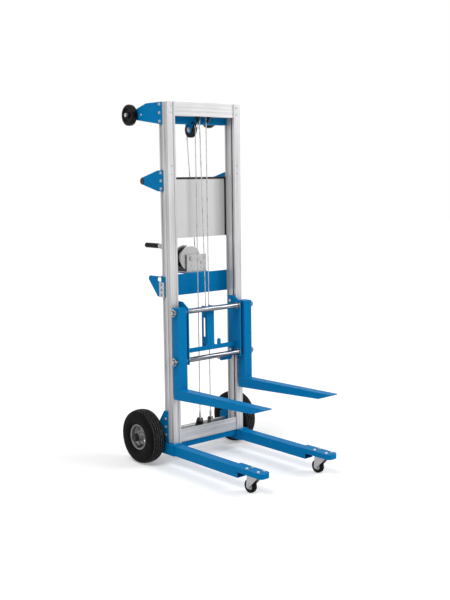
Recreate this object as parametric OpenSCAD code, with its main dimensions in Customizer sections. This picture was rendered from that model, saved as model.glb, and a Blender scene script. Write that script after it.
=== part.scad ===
// Two-stage material hoist with a hand winch, a fork carriage and a wheeled straddle base.
// Millimetres. X runs across the hoist, the forks point to -Y and the floor is Z = 0.

/* [Mast] */
// Height of the lowered mast above the floor
mast_h = 1730; // [1500:5:1900]
// Width over the outside of the columns
mast_w = 444; // [400:2:520]
// Width of one column
col_w = 42; // [40:1:48]
// Front and rear flanges of the moving column
flange_t = 4; // [3:0.5:6]
// Wall between the roller channel and the rail slot
web_t = 3; // [2:0.5:5]
// Depth of the roller channel in the moving column
channel_d = 30; // [24:1:31]
// Thickness of the lips that narrow the mouth of the roller channel
channel_lip = 3; // [2:0.5:4]
// Width of the raised edge on the front of the moving column
edge_w = 9; // [6:0.5:14]
// Height of the raised edge
edge_h = 4; // [1:0.5:8]
// Depth of the groove along the outside of the moving column
groove_d = 6; // [3:0.5:7]
// Width of that groove
groove_w = 24; // [16:1:28]
// Depth of the fixed column behind its rail
rear_d = 26; // [20:1:40]
// Wall of the fixed column
rear_wall = 3; // [2:0.5:5]
// Width of the bolt slots along both sides of the fixed column
bolt_slot_w = 11; // [8:0.5:12]
// Depth of those slots
bolt_slot_d = 5; // [3:0.5:6]
// Gap between the moving and the fixed column
mast_gap = 1; // [0.5:0.25:2]
// Width of the rail head
rail_head_w = 20; // [16:1:22]
// Thickness of the rail head
rail_head_t = 4; // [3:0.5:6]
// Width of the rail stem
rail_stem_w = 8; // [6:0.5:10]
// Thickness of the wear pads on the rail
pad_t = 1.7; // [1.2:0.1:2.5]
// Length of a wear pad
pad_len = 60; // [30:5:100]

/* [Mast cross members] */
// Height of the top beam and of the bottom channel
beam_h = 64; // [56:1:80]
// Depth of the top beam
beam_d = 43; // [38:1:44]
// Depth of the bottom channel
sill_d = 54; // [48:1:58]
// Height of the rear wall of the bottom channel
sill_rear_h = 40; // [20:1:60]
// Wall of the top beam and of the bottom channel
beam_t = 4; // [3:0.5:5]
// Height of the cross tube at the top of the fixed columns
header_h = 50; // [40:1:60]
// Depth of that cross tube
header_d = 32; // [28:1:40]
// Distance of its underside below the top of the mast
header_drop = 98; // [90:1:140]
// Wall of that cross tube
header_t = 3; // [2:0.5:5]

/* [Base] */
// Distance of a leg from the middle of the hoist
leg_x = 212; // [206:1:230]
// Width of a leg
leg_w = 50; // [44:1:56]
// Height of a leg
leg_h = 48; // [42:1:56]
// Wall of a leg
leg_t = 3; // [2:0.5:5]
// Height of the underside of the legs above the floor
leg_z = 56; // [50:1:70]
// Reach of the legs in front of the mast
leg_reach = 480; // [400:5:600]
// Wall of the sleeves that hold the legs
sleeve_t = 3; // [2:0.5:5]
// Reach of a sleeve in front of the mast
sleeve_front = 22; // [10:1:60]
// Reach of a sleeve behind the front of the mast
sleeve_rear = 120; // [90:1:140]
// Height of the cross tube between the sleeves
sill_tube_h = 29; // [24:1:36]
// Depth of the cross tube between the sleeves
sill_tube_d = 50; // [40:1:60]
// Wall of the cross tube between the sleeves
sill_tube_t = 3; // [2:0.5:5]
// Thickness of the foot plates beside the columns
foot_t = 6; // [4:0.5:10]
// Height of a foot plate above its sleeve
foot_h = 155; // [110:5:200]

/* [Rear wheels] */
// Outer diameter of a tyre
tyre_d = 264; // [240:2:280]
// Width of a tyre
tyre_w = 86; // [70:1:92]
// Distance of the middle of a wheel from the outside of the columns
wheel_offset = 72; // [68:1:98]
// Distance of the axle behind the front of the mast
axle_y = 151; // [140:1:160]
// Diameter of the axle
axle_d = 19; // [14:0.5:24]
// Diameter of the rim under the tyre
rim_d = 116; // [100:1:130]
// Width of the rim
rim_w = 58; // [40:1:64]
// Diameter of the wheel hub
hub_d = 40; // [34:1:50]
// Length of the wheel hub
hub_len = 76; // [60:1:78]
// Depth of the grooves between the ribs of the tread
tread_depth = 4; // [2:0.5:6]
// Grooves in the tread
tread_grooves = 5; // [3:2:5]
// Distance between the grooves
tread_pitch = 12; // [9:0.5:12]
// Radius of the shoulders of the tread
shoulder_r = 24; // [18:1:26]

/* [Casters] */
// Diameter of a caster wheel
caster_d = 62; // [54:1:66]
// Width of a caster wheel
caster_w = 24; // [18:1:26]
// Distance of the swivel in front of the end of the leg
caster_ahead = 92; // [84:1:96]
// Distance of the wheel behind its swivel
caster_trail = 32; // [25:1:36]
// Diameter of the swivel pin
kingpin_d = 12; // [8:0.5:14]
// Thickness of the sheet of the caster fork
caster_sheet = 3; // [2:0.5:4]
// Sheet of the channels that carry the casters
mount_t = 4; // [3:0.5:6]
// Length of those channels
mount_len = 195; // [180:1:210]
// Height of those channels
mount_h = 24; // [20:1:28]

/* [Brackets and handle] */
// Sheet of the wheel and handle brackets
bracket_t = 5; // [3:0.5:8]
// Diameter of a loading wheel
load_wheel_d = 102; // [90:1:110]
// Width of a loading wheel
load_wheel_w = 30; // [20:1:40]
// Distance of the loading wheels behind the front of the mast
load_wheel_y = 268; // [240:1:290]
// Distance of the loading wheels below the top of the mast
load_wheel_drop = 50; // [46:1:56]
// Diameter of the loading wheel bolts
load_bolt_d = 12; // [8:0.5:16]
// Distance of the push handle below the top of the mast
handle_drop = 364; // [340:2:400]
// Distance of the push handle behind the front of the mast
handle_y = 204; // [180:1:230]
// Diameter of the push handle
handle_d = 22; // [18:1:30]
// Height of the handle brackets at the column
handle_bracket_h = 98; // [80:1:120]
// Height of the panel between the columns
panel_h = 288; // [200:2:320]
// Distance of the top of the panel below the top of the mast
panel_drop = 350; // [330:2:370]
// Sheet of the panel
panel_t = 2; // [1:0.5:3]
// Thickness of the edge strip round the panel
trim_t = 2; // [1:0.5:3]

/* [Winch] */
// Distance of the drum below the top of the mast
drum_drop = 743; // [730:1:750]
// Offset of the drum from the middle of the hoist
drum_x = -24; // [-30:1:-10]
// Distance of the front flange of the drum behind the front of the mast
drum_y = 98; // [98:1:104]
// Width of the drum between its flanges
drum_w = 49; // [47:1:56]
// Diameter of the drum flanges
drum_flange_d = 122; // [118:1:126]
// Sheet of the drum flanges
drum_flange_t = 3; // [2:0.5:4]
// Radius of the outer layer of rope at its middle
wind_r = 36; // [32:1:42]
// Turns of rope in the outer layer
wind_turns = 7; // [4:1:7]
// Pitch of the turns
wind_pitch = 5.6; // [5.5:0.05:5.8]
// Module of the winch gears
gear_module = 2; // [1.8:0.1:2]
// Teeth of the drum gear
gear_teeth = 56; // [52:1:56]
// Teeth of the crank pinion
pinion_teeth = 12; // [12:1:14]
// Width of the winch gears
gear_w = 8; // [6:0.5:10]
// Backlash between the gears
gear_backlash = 0.5; // [0.4:0.05:0.7]
// Fall of the crank shaft below the line level with the drum, in degrees
pinion_angle = 20; // [10:1:30]
// Diameter of the drum shaft
drum_shaft_d = 14; // [10:0.5:18]
// Diameter of the crank shaft
crank_shaft_d = 14; // [10:0.5:16]
// Length of the crank arm between shaft and grip
crank_r = 205; // [160:5:215]
// Rise of the crank arm at rest, in degrees
crank_angle = 25; // [10:1:40]
// Diameter of the grip
grip_d = 25; // [20:1:32]
// Length of the grip
grip_len = 105; // [90:1:120]
// Sheet of the winch frame
winch_sheet = 4; // [3:0.5:6]
// Height of the cross plate that carries the winch
winch_plate_h = 102; // [80:1:120]
// Sheet of that plate
winch_plate_t = 4; // [3:0.5:6]
// Depth of the gusset at the near end of that plate
gusset_d = 104; // [90:1:110]

/* [Ropes and sheaves] */
// Diameter of the ropes
rope_d = 5; // [4:0.5:5]
// Radius of the winch rope on its sheave, at the middle of the rope
winch_sheave_r = 34; // [30:1:36]
// Offset of the winch sheave from the middle of the hoist
winch_sheave_x = -31; // [-38:1:-31]
// Distance of the winch sheave behind the front of the mast
winch_sheave_y = 68; // [66:1:70]
// Distance of the winch sheave below the top of the mast
winch_sheave_drop = 123; // [123:1:130]
// Radius of the carriage rope on its sheave, at the middle of the rope
mast_sheave_r = 20; // [18:1:20]
// Offset of the carriage sheave from the middle of the hoist
mast_sheave_x = 10; // [6:1:12]
// Distance of the carriage sheave behind the front of the mast
mast_sheave_y = 27; // [24:1:28]
// Distance of the carriage sheave below the top of the mast
mast_sheave_drop = 40; // [36:1:42]
// Width of a sheave
sheave_w = 14; // [11:0.5:14]
// Depth of rope groove below the rim of a sheave
sheave_lip = 6.5; // [5:0.5:7]
// Diameter of the sheave pins
sheave_pin_d = 12; // [8:0.5:14]
// Thickness of the rope lugs
lug_t = 6; // [4:0.5:8]
// Height of the rope lugs' bolt above the floor of the bottom channel
lug_h = 82; // [70:1:110]
// Diameter of the lug bolts
lug_bolt_d = 9; // [6:0.5:10]

/* [Carriage and forks] */
// Distance of a carriage side plate from the middle of the hoist
side_x = 160; // [150:1:162]
// Sheet of the carriage
side_t = 6; // [4:0.5:8]
// Height of the underside of the carriage above the floor
carriage_z = 495; // [480:1:520]
// Height of the carriage
carriage_h = 300; // [280:1:305]
// Diameter of the carriage rollers
roller_d = 19.4; // [18:0.2:20]
// Width of a carriage roller
roller_w = 14; // [10:0.5:20]
// Diameter of the roller studs
stud_d = 8; // [6:0.5:9]
// Distance of a roller from the end of the carriage
roller_inset = 26; // [18:1:34]
// Sheet of the carriage front
front_t = 4; // [3:0.5:6]
// Distance of the carriage front before the mast
front_y = 18; // [14:1:20]
// Width of the middle post of the carriage
post_w = 44; // [40:1:44]
// Depth of the middle post behind the carriage front
post_d = 38; // [30:1:40]
// Width of the slot in the middle post
slot_w = 14; // [8:1:18]
// Length of the slot in the middle post
slot_len = 96; // [60:1:110]
// Diameter of the fork rods
rod_d = 25; // [20:0.5:28]
// Reach of the fork rods from the middle of the hoist
rod_reach = 252; // [250:1:270]
// Distance of the rods before the mast
rod_y = 40; // [40:0.5:44]
// Distance between the rods
rod_pitch = 234; // [200:1:240]
// Distance of a fork from the middle of the hoist
fork_x = 205; // [200:1:212]
// Width of a fork
fork_w = 46; // [40:1:50]
// Depth of the fork shank
shank_d = 50; // [44:1:50]
// Wall of the forks
fork_t = 4; // [3:0.5:6]
// Reach of the fork tips before the mast
fork_reach = 648; // [600:2:700]
// Height of the blades at the shank above the floor
blade_z = 382; // [360:1:400]
// Depth of the blade at the heel
blade_d = 52; // [44:1:60]
// Depth of the blade where its point begins
blade_tip_d = 31; // [20:1:36]
// Length of the point
blade_point = 78; // [50:1:100]
// Rise of the blade towards its tip
blade_rise = 10; // [0:1:20]
// Level land of the blade in front of the shank
heel_land = 4; // [2:0.5:8]

/* [Fits] */
// Radial clearance of wheels, sheaves and shafts on their pins
run_fit = 0.05; // [0.02:0.01:0.1]
// Clearance between bodies that move past each other
slide_gap = 0.3; // [0.2:0.05:0.5]
// Clearance of bolted and inserted pieces
seat_fit = 0.2; // [0.1:0.05:0.4]

/* [Hidden] */
$fn = 48;

blue = "#0070b0";
steel = "#b9bcc0";
alloy = "#d5d7da";
black = "#1c1c1e";

// Mast
col_out = mast_w / 2;
wheel_x = col_out + wheel_offset;
col_in = col_out - col_w;
roller_slot = roller_d + 2 * slide_gap;
pad_room = pad_t + slide_gap;
rail_slot_w = rail_head_w + 2 * pad_room;
rail_slot_d = rail_head_t + 2 * pad_room;
rail_mouth_w = rail_stem_w + 2 * pad_room;
roller_y = flange_t + roller_slot / 2;
rail_x = col_in + col_w / 2;
rail_slot_y = flange_t + roller_slot + web_t;
rail_head_y = rail_slot_y + pad_room;
front_d = rail_slot_y + rail_slot_d + flange_t;
rear_y = front_d + mast_gap;
mast_back = rear_y + rear_d;

// Base
caster_y = leg_reach + caster_ahead;
leg_top = leg_z + leg_h;
sleeve_w = leg_w + 2 * (seat_fit + sleeve_t);
sleeve_h = leg_h + 2 * (seat_fit + sleeve_t);
base_top = leg_top + seat_fit + sleeve_t;
mast_z = base_top + slide_gap;
sill_tube_y = 8;
axle_z = tyre_d / 2;

// Winch and ropes
handle_z = mast_h - handle_drop;
panel_z = mast_h - panel_drop - panel_h;
drum_z = mast_h - drum_drop;
header_y = winch_sheave_y - header_d / 2;
header_z = mast_h - header_drop;
winch_sheave_z = mast_h - winch_sheave_drop;
lift_rope_y = winch_sheave_y - winch_sheave_r;
mast_sheave_z = mast_h - mast_sheave_drop;
rise_x = mast_sheave_x + mast_sheave_r;
fall_x = mast_sheave_x - mast_sheave_r;
sheave_root = rope_d / 2 + slide_gap;
groove_flare = 28;
lug_z = mast_z + lug_h;
lug_half = 17;
mast_lug_x = winch_sheave_x + rope_d + slide_gap;
base_lug_x = rise_x - rope_d - slide_gap - lug_t;
gear_centre = gear_module * (gear_teeth + pinion_teeth) / 2;
pinion_x = drum_x + gear_centre * cos(pinion_angle);
pinion_z = drum_z - gear_centre * sin(pinion_angle);
drum_back = drum_y + drum_w + 2 * drum_flange_t;
gear_y = drum_back;
winch_gap = 4;
frame_front = drum_y - winch_gap - winch_sheet;
frame_back = gear_y + gear_w + winch_gap;
crank_gap = 10;
crank_y = frame_back + winch_sheet + crank_gap;
crank_t = 6;
shelf_z = drum_z - drum_flange_d / 2 - 2 * winch_gap - winch_sheet;
crank_end = [pinion_x - crank_r * cos(crank_angle), pinion_z + crank_r * sin(crank_angle)];

// Carriage
carriage_top = carriage_z + carriage_h;
rod_drop = 45;
shank_over = 22;
front_over = 10;
anchor_x = -2;
anchor_y = 12;
anchor_drop = 5;
rod_upper_z = carriage_top - rod_drop;
rod_lower_z = rod_upper_z - rod_pitch;
roller_upper_z = carriage_top - roller_inset;
roller_lower_z = carriage_z + roller_inset;
shank_top = rod_upper_z + shank_over;
front_top = rod_upper_z + front_over;
anchor = [anchor_x, anchor_y, rod_upper_z - anchor_drop];

// Pairs of pieces, mirrored from the far side to the near side
module pair() {
    children();
    mirror([1, 0, 0]) children();
}

// A flat outline in (Y, Z), extruded along X from x
module slab_x(x, t) {
    translate([x, 0, 0]) rotate([90, 0, 90]) linear_extrude(t) children();
}

// A flat outline in (X, Z), extruded along Y from y
module slab_y(y, t) {
    translate([0, y + t, 0]) rotate([90, 0, 0]) linear_extrude(t) children();
}

module bar_x(x0, x1, y, z, d, sides = $fn) {
    translate([x0, y, z]) rotate([0, 90, 0]) cylinder(d = d, h = x1 - x0, $fn = sides);
}

module bar_y(y0, y1, x, z, d, sides = $fn) {
    translate([x, y0, z]) rotate([-90, 0, 0]) cylinder(d = d, h = y1 - y0, $fn = sides);
}

module bar_z(z0, z1, x, y, d) {
    translate([x, y, z0]) cylinder(d = d, h = z1 - z0);
}

// A rectangular tube along X, open at both ends
module tube_x(x0, x1, y, z, d, h, t) {
    difference() {
        translate([x0, y, z]) cube([x1 - x0, d, h]);
        translate([x0 - 1, y + t, z + t]) cube([x1 - x0 + 2, d - 2 * t, h - 2 * t]);
    }
}

// A swaged rope eye on a lug bolt, with its sleeve pointing up
module rope_eye(x, y, z) {
    difference() {
        union() {
            bar_x(x - rope_d, x + rope_d, y, z, 3 * rope_d);
            bar_z(z, z + 8 * rope_d, x, y, 2 * rope_d);
        }
        bar_x(x - 2 * rope_d, x + 2 * rope_d, y, z, lug_bolt_d + 2 * seat_fit);
    }
}

// A sheave about the Z axis, with a groove that flares towards the rim
module sheave(r) {
    rim = r + sheave_lip - rope_d / 2;
    flare = sheave_root + (rim - r) * tan(groove_flare);
    difference() {
        cylinder(r = rim, h = sheave_w, center = true);
        rotate_extrude() {
            translate([r, 0]) circle(sheave_root, $fn = 32);
            polygon([[r, -sheave_root], [rim, -flare], [rim + 1, -flare], [rim + 1, flare],
                [rim, flare], [r, sheave_root]]);
        }
        cylinder(d = sheave_pin_d + 2 * run_fit, h = 2 * sheave_w, center = true);
    }
}

// Base

module base_frame() {
    color(blue) difference() {
        union() {
            pair() translate([leg_x - sleeve_w / 2, -sleeve_front, base_top - sleeve_h])
                cube([sleeve_w, sleeve_front + sleeve_rear, sleeve_h]);
            translate([-leg_x, sill_tube_y, base_top - sill_tube_h])
                cube([2 * leg_x, sill_tube_d, sill_tube_h]);
        }
        pair() translate([leg_x - leg_w / 2 - seat_fit, -sleeve_front - 1, leg_z - seat_fit])
            cube([leg_w + 2 * seat_fit, sleeve_front + sleeve_rear + 2, leg_h + 2 * seat_fit]);
        translate([-leg_x, sill_tube_y + sill_tube_t, base_top - sill_tube_h + sill_tube_t])
            cube([2 * leg_x, sill_tube_d - 2 * sill_tube_t, sill_tube_h - 2 * sill_tube_t]);
    }
}

module legs() {
    color(blue) pair() difference() {
        translate([leg_x - leg_w / 2, -leg_reach, leg_z]) cube([leg_w, leg_reach + sleeve_rear, leg_h]);
        translate([leg_x - leg_w / 2 + leg_t, -leg_reach - 1, leg_z + leg_t])
            cube([leg_w - 2 * leg_t, leg_reach + sleeve_rear + 2, leg_h - 2 * leg_t]);
    }
}

// Outline of a caster channel seen from above, with a round front
module mount_outline(w, len, r) {
    translate([-w / 2, r - len]) square([w, len - r]);
    translate([r - w / 2, -len]) square([w - 2 * r, len]);
    for (s = [-1, 1]) translate([s * (w / 2 - r), r - len]) circle(r);
}

mount_nose = 68;
mount_front = caster_y + mount_nose;
mount_w = leg_w + 2 * (seat_fit + mount_t);
mount_r = 18;
plate_bolt_d = 9;
plate_bolt_x = 17;
plate_bolt_y = 37;

module caster_mounts() {
    color(blue) pair() translate([leg_x, mount_len - mount_front, 0]) difference() {
        translate([0, 0, leg_top + seat_fit + mount_t - mount_h])
            linear_extrude(mount_h) mount_outline(mount_w, mount_len, mount_r);
        translate([0, 1, leg_top - mount_h]) linear_extrude(mount_h + seat_fit)
            mount_outline(mount_w - 2 * mount_t, mount_len - mount_t + 1, mount_r - mount_t);
        for (s = [-1, 1], e = [-1, 1])
            bar_z(leg_top - 1, leg_top + mount_t + 2, s * plate_bolt_x,
                mount_nose - mount_len + e * plate_bolt_y, plate_bolt_d);
    }
}

plate_t = 4;
plate_len = 96;
crown_top = leg_top + seat_fit - plate_t;
crown_lift = 3;
crown_h = mount_h - crown_lift;
kingpin_head = 4;
kingpin_rim = 4;

module caster_plates() {
    head_z = crown_top - crown_h - 2 * slide_gap;
    color(steel) pair() translate([leg_x, -caster_y, 0]) {
        difference() {
            translate([-leg_w / 2, -plate_len / 2, crown_top]) cube([leg_w, plate_len, plate_t]);
            for (s = [-1, 1], e = [-1, 1])
                bar_z(crown_top - 1, crown_top + plate_t + 1, s * plate_bolt_x, e * plate_bolt_y,
                    plate_bolt_d);
        }
        bar_z(head_z - kingpin_head, crown_top, 0, 0, kingpin_d);
        bar_z(head_z - kingpin_head, head_z, 0, 0, kingpin_d + 2 * kingpin_rim);
    }
}

foot_margin = 14;
foot_step_y = 40;
foot_step_h = 92;

module foot_plates() {
    reach = axle_y + axle_d + foot_margin;
    color(blue) pair() slab_x(col_out, foot_t) difference() {
        polygon([[rear_y, base_top], [rear_y, base_top + foot_h], [mast_back, base_top + foot_h],
            [axle_y - foot_step_y, base_top + foot_step_h], [reach, axle_z + axle_d + foot_margin],
            [reach, base_top]]);
        translate([axle_y, axle_z]) circle(d = axle_d + 2 * seat_fit);
    }
}

hub_in = wheel_x - hub_len / 2;
hub_out = wheel_x + hub_len / 2;
axle_over = 18;
collar_rim = 6;
washer_rim = 7.5;
washer_t = 3;
nut_rim = 5.5;
nut_t = 11;

module axle() {
    washer_x = hub_out + slide_gap;
    nut_x = washer_x + washer_t;
    color(steel) {
        bar_x(-hub_out - axle_over, hub_out + axle_over, axle_y, axle_z, axle_d);
        pair() {
            bar_x(col_out + foot_t, hub_in - slide_gap, axle_y, axle_z, axle_d + 2 * collar_rim);
            bar_x(washer_x, nut_x, axle_y, axle_z, axle_d + 2 * washer_rim);
            bar_x(nut_x, nut_x + nut_t, axle_y, axle_z, axle_d + 2 * nut_rim, 6);
        }
    }
}

// Rear wheels

flank_r = 26;
tread_groove_w = 3;

// Section of a tyre: a flat ribbed tread, round shoulders, straight flanks and round beads
module tyre() {
    half = tyre_w / 2;
    tread = tyre_d / 2;
    bead = rim_d / 2 + seat_fit;
    color(black) rotate_extrude() difference() {
        union() {
            translate([bead + flank_r, -half]) square([tread - shoulder_r - bead - flank_r, tyre_w]);
            translate([tread - shoulder_r, shoulder_r - half]) square([shoulder_r, tyre_w - 2 * shoulder_r]);
            translate([bead, flank_r - half]) square([flank_r, tyre_w - 2 * flank_r]);
            for (s = [-1, 1]) {
                translate([tread - shoulder_r, s * (half - shoulder_r)]) circle(shoulder_r);
                translate([bead + flank_r, s * (half - flank_r)]) circle(flank_r);
            }
        }
        for (i = [0 : tread_grooves - 1])
            translate([tread - tread_depth, (i - (tread_grooves - 1) / 2) * tread_pitch - tread_groove_w / 2])
                square([tread_depth + 1, tread_groove_w]);
    }
}

rim_t = 4;
rim_lip = 2.5;
rim_lip_t = 2.5;
disc_t = 5;
disc_x = 8;
window_d = 13;
windows = 5;

// A rim with a lip at each side, and a disc with round windows between rim and hub
module rim() {
    inner = rim_d / 2 - rim_t;
    color(steel) difference() {
        rotate_extrude() {
            translate([inner, -rim_w / 2]) square([rim_t, rim_w]);
            for (z = [-rim_w / 2 - rim_lip_t, rim_w / 2]) translate([inner, z])
                square([rim_t + rim_lip, rim_lip_t]);
            translate([hub_d / 2, disc_x]) square([inner - hub_d / 2, disc_t]);
            translate([0, -hub_len / 2]) square([hub_d / 2, hub_len]);
        }
        cylinder(d = axle_d + 2 * run_fit, h = hub_len + 2, center = true);
        for (i = [0 : windows - 1]) rotate(i * 360 / windows)
            translate([(inner + hub_d / 2) / 2, 0, 0]) cylinder(d = window_d, h = hub_len);
    }
}

module at_wheel(side) {
    translate([side * wheel_x, axle_y, axle_z]) rotate([0, side * 90, 0]) children();
}

module tyre_near() { at_wheel(-1) tyre(); }
module tyre_far() { at_wheel(1) tyre(); }
module rim_near() { at_wheel(-1) rim(); }
module rim_far() { at_wheel(1) rim(); }

// Casters

caster_axle_d = 10;
caster_axle_over = 5;
caster_gap = 2;
caster_hub_r = 10;
caster_hub_over = 1.5;
caster_tread_t = 11;
caster_edge_r = 3;
crown_d = 44;
arm_front = 24;
arm_rear = 38;
axle_boss_r = 11;

// Swivelling fork: a crown inside the channel and two arms below it that trail back to the wheel
module caster_fork(side) {
    arm = caster_w / 2 + caster_gap;
    crown_z = crown_top - slide_gap - crown_h;
    wheel_z = caster_d / 2;
    axle_half = arm + caster_sheet + caster_axle_over;
    color(steel) translate([side * leg_x, -caster_y, 0]) {
        difference() {
            union() {
                bar_z(crown_z, crown_top - slide_gap, 0, 0, crown_d);
                translate([-arm - caster_sheet, -arm_front, crown_z])
                    cube([2 * (arm + caster_sheet), arm_front + arm_rear, caster_sheet]);
                for (x = [-arm - caster_sheet, arm]) slab_x(x, caster_sheet) {
                    polygon([[-arm_front, crown_z + caster_sheet], [arm_rear, crown_z + caster_sheet],
                        [caster_trail + axle_boss_r, wheel_z], [caster_trail, wheel_z - axle_boss_r],
                        [caster_trail - axle_boss_r, wheel_z], [-arm_front, crown_z - caster_sheet]]);
                    translate([caster_trail, wheel_z]) circle(axle_boss_r);
                }
            }
            bar_z(crown_z - 1, crown_top, 0, 0, kingpin_d + 2 * run_fit);
        }
        bar_x(-axle_half, axle_half, caster_trail, wheel_z, caster_axle_d);
    }
}

// Half section of a small wheel: hub, web and a tread with round edges
module wheel_section(r, w, hub_r, hub_over, tread_t, edge_r) {
    translate([0, -w / 2 - hub_over]) square([hub_r, w + 2 * hub_over]);
    translate([0, -w / 4]) square([r - tread_t / 2, w / 2]);
    translate([r - tread_t, edge_r - w / 2]) square([tread_t, w - 2 * edge_r]);
    translate([r - tread_t, -w / 2]) square([tread_t - edge_r, w]);
    for (s = [-1, 1]) translate([r - edge_r, s * (w / 2 - edge_r)]) circle(edge_r);
}

module caster_wheel(side) {
    color(black) translate([side * leg_x, caster_trail - caster_y, caster_d / 2]) rotate([0, 90, 0])
        rotate_extrude() difference() {
            wheel_section(caster_d / 2, caster_w, caster_hub_r, caster_hub_over, caster_tread_t,
                caster_edge_r);
            translate([-1, -caster_w]) square([caster_axle_d / 2 + run_fit + 1, 2 * caster_w]);
        }
}

module caster_fork_near() { caster_fork(-1); }
module caster_fork_far() { caster_fork(1); }
module caster_wheel_near() { caster_wheel(-1); }
module caster_wheel_far() { caster_wheel(1); }

// Fixed mast

// Section of a fixed column: a hollow bar with a bolt slot along each side, and the rail before it
module fixed_profile() {
    side_wall = rear_wall + bolt_slot_d;
    difference() {
        translate([col_in, rear_y]) square([col_w, rear_d]);
        translate([col_in + side_wall, rear_y + rear_wall])
            square([col_w - 2 * side_wall, rear_d - 2 * rear_wall]);
        for (x = [col_in - 1, col_out - bolt_slot_d])
            translate([x, rear_y + bolt_inset - bolt_slot_w / 2]) square([bolt_slot_d + 1, bolt_slot_w]);
    }
    translate([rail_x - rail_stem_w / 2, rail_head_y]) square([rail_stem_w, rear_y - rail_head_y]);
    translate([rail_x - rail_head_w / 2, rail_head_y]) square([rail_head_w, rail_head_t]);
}

module fixed_columns() {
    color(alloy) pair() translate([0, 0, base_top]) linear_extrude(mast_h - base_top) fixed_profile();
}

// Outline of a rail with its head and stem grown by g
module rail_outline(g) {
    translate([rail_x - rail_head_w / 2 - g, rail_head_y - g])
        square([rail_head_w + 2 * g, rail_head_t + 2 * g]);
    translate([rail_x - rail_stem_w / 2 - g, rail_head_y])
        square([rail_stem_w + 2 * g, front_d - rail_head_y]);
}

pad_inset = 10;

module fixed_pads() {
    z = mast_h - pad_len - 2 * pad_inset;
    color(black) pair() translate([0, 0, z]) linear_extrude(pad_len) difference() {
        rail_outline(pad_t);
        rail_outline(0);
    }
}

cheek = sheave_w / 2 + slide_gap;
cheek_t = 4;
notch_gap = 2;
clevis_r = 18;
clevis_w = 60;
clevis_nut_w = 16;
clevis_nut_t = 7;

module top_crossmember() {
    color(blue) difference() {
        tube_x(-col_in, col_in, header_y, header_z, header_d, header_h, header_t);
        bar_x(winch_sheave_x - cheek, winch_sheave_x + cheek, winch_sheave_y, winch_sheave_z,
            2 * (winch_sheave_r + sheave_lip + notch_gap) - rope_d);
    }
}

// Two cheeks that taper from the cross tube down to the sheave pin
module sheave_clevis() {
    outer = cheek + cheek_t;
    color(blue) for (x = [winch_sheave_x - outer, winch_sheave_x + cheek]) slab_x(x, cheek_t) {
        polygon([[winch_sheave_y - clevis_w / 2, header_z], [winch_sheave_y + clevis_w / 2, header_z],
            [winch_sheave_y + clevis_r, winch_sheave_z], [winch_sheave_y - clevis_r, winch_sheave_z]]);
        translate([winch_sheave_y, winch_sheave_z]) circle(clevis_r);
    }
    color(steel) {
        bar_x(winch_sheave_x - outer, winch_sheave_x + outer, winch_sheave_y, winch_sheave_z, sheave_pin_d);
        for (x = [winch_sheave_x - outer - clevis_nut_t, winch_sheave_x + outer])
            bar_x(x, x + clevis_nut_t, winch_sheave_y, winch_sheave_z, clevis_nut_w, 6);
    }
}

bolt_inset = 12;
bolt_head = 5;
bolt_w = 13;

bracket_low = 54;
bracket_slope = 108;
bracket_end_r = 20;
bracket_hole_d = 12;
bracket_hole_y = 65;

module top_brackets() {
    z = mast_h - load_wheel_drop;
    color(blue) pair() slab_x(col_out, bracket_t) difference() {
        union() {
            polygon([[rear_y, z - bracket_low], [rear_y, mast_h], [load_wheel_y - bracket_slope, mast_h],
                [load_wheel_y, z + bracket_end_r], [load_wheel_y, z - bracket_end_r]]);
            translate([load_wheel_y, z]) circle(bracket_end_r);
        }
        translate([load_wheel_y, z]) circle(d = load_bolt_d + 2 * seat_fit);
        translate([load_wheel_y - bracket_hole_y, z]) circle(d = bracket_hole_d);
    }
}

load_gap = 5;
load_head_t = 8;
load_nut_t = 10;
load_nut_rim = 4;
load_hub_r = 14;
load_tread_t = 16;
load_edge_r = 5;
load_wheel_in = col_out + bracket_t + load_gap;
load_wheel_out = load_wheel_in + load_wheel_w;

module load_wheel_bolts() {
    z = mast_h - load_wheel_drop;
    rim = load_bolt_d + 2 * load_nut_rim;
    color(steel) pair() {
        bar_x(col_out - load_head_t, load_wheel_out + load_nut_t, load_wheel_y, z, load_bolt_d);
        bar_x(col_out - load_head_t, col_out, load_wheel_y, z, rim, 6);
        bar_x(col_out + bracket_t, load_wheel_in - slide_gap, load_wheel_y, z, rim);
        bar_x(load_wheel_out + slide_gap, load_wheel_out + load_nut_t, load_wheel_y, z, rim, 6);
    }
}

module load_wheel(side) {
    x = side * (load_wheel_in + load_wheel_w / 2);
    color(black) translate([x, load_wheel_y, mast_h - load_wheel_drop]) rotate([0, 90, 0])
        rotate_extrude() difference() {
            wheel_section(load_wheel_d / 2, load_wheel_w, load_hub_r, 0, load_tread_t, load_edge_r);
            translate([-1, -load_wheel_w]) square([load_bolt_d / 2 + run_fit + 1, 2 * load_wheel_w]);
        }
}

module load_wheel_near() { load_wheel(-1); }
module load_wheel_far() { load_wheel(1); }

handle_rim = 6;
handle_bend = 14;
handle_over = 4;
handle_wall = 2;

module handle_brackets() {
    half = handle_bracket_h / 2;
    end_r = handle_d / 2 + handle_rim;
    bend_y = mast_back + handle_bend;
    color(blue) pair() slab_x(col_out, bracket_t) difference() {
        union() {
            polygon([[rear_y, handle_z - half], [rear_y, handle_z + half], [bend_y, handle_z + half],
                [handle_y, handle_z + end_r], [handle_y, handle_z - end_r], [bend_y, handle_z - half]]);
            translate([handle_y, handle_z]) circle(end_r);
        }
        translate([handle_y, handle_z]) circle(d = handle_d + 2 * seat_fit);
    }
}

module push_handle() {
    reach = col_out + bracket_t + handle_over;
    color(steel) difference() {
        bar_x(-reach, reach, handle_y, handle_z, handle_d);
        bar_x(-reach - 1, reach + 1, handle_y, handle_z, handle_d - 2 * handle_wall);
    }
}

panel_inset = 4;
panel_y = mast_back - panel_inset;
panel_front = rear_y + panel_inset;
crease_x = -18;
crease_w = 1;

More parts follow.
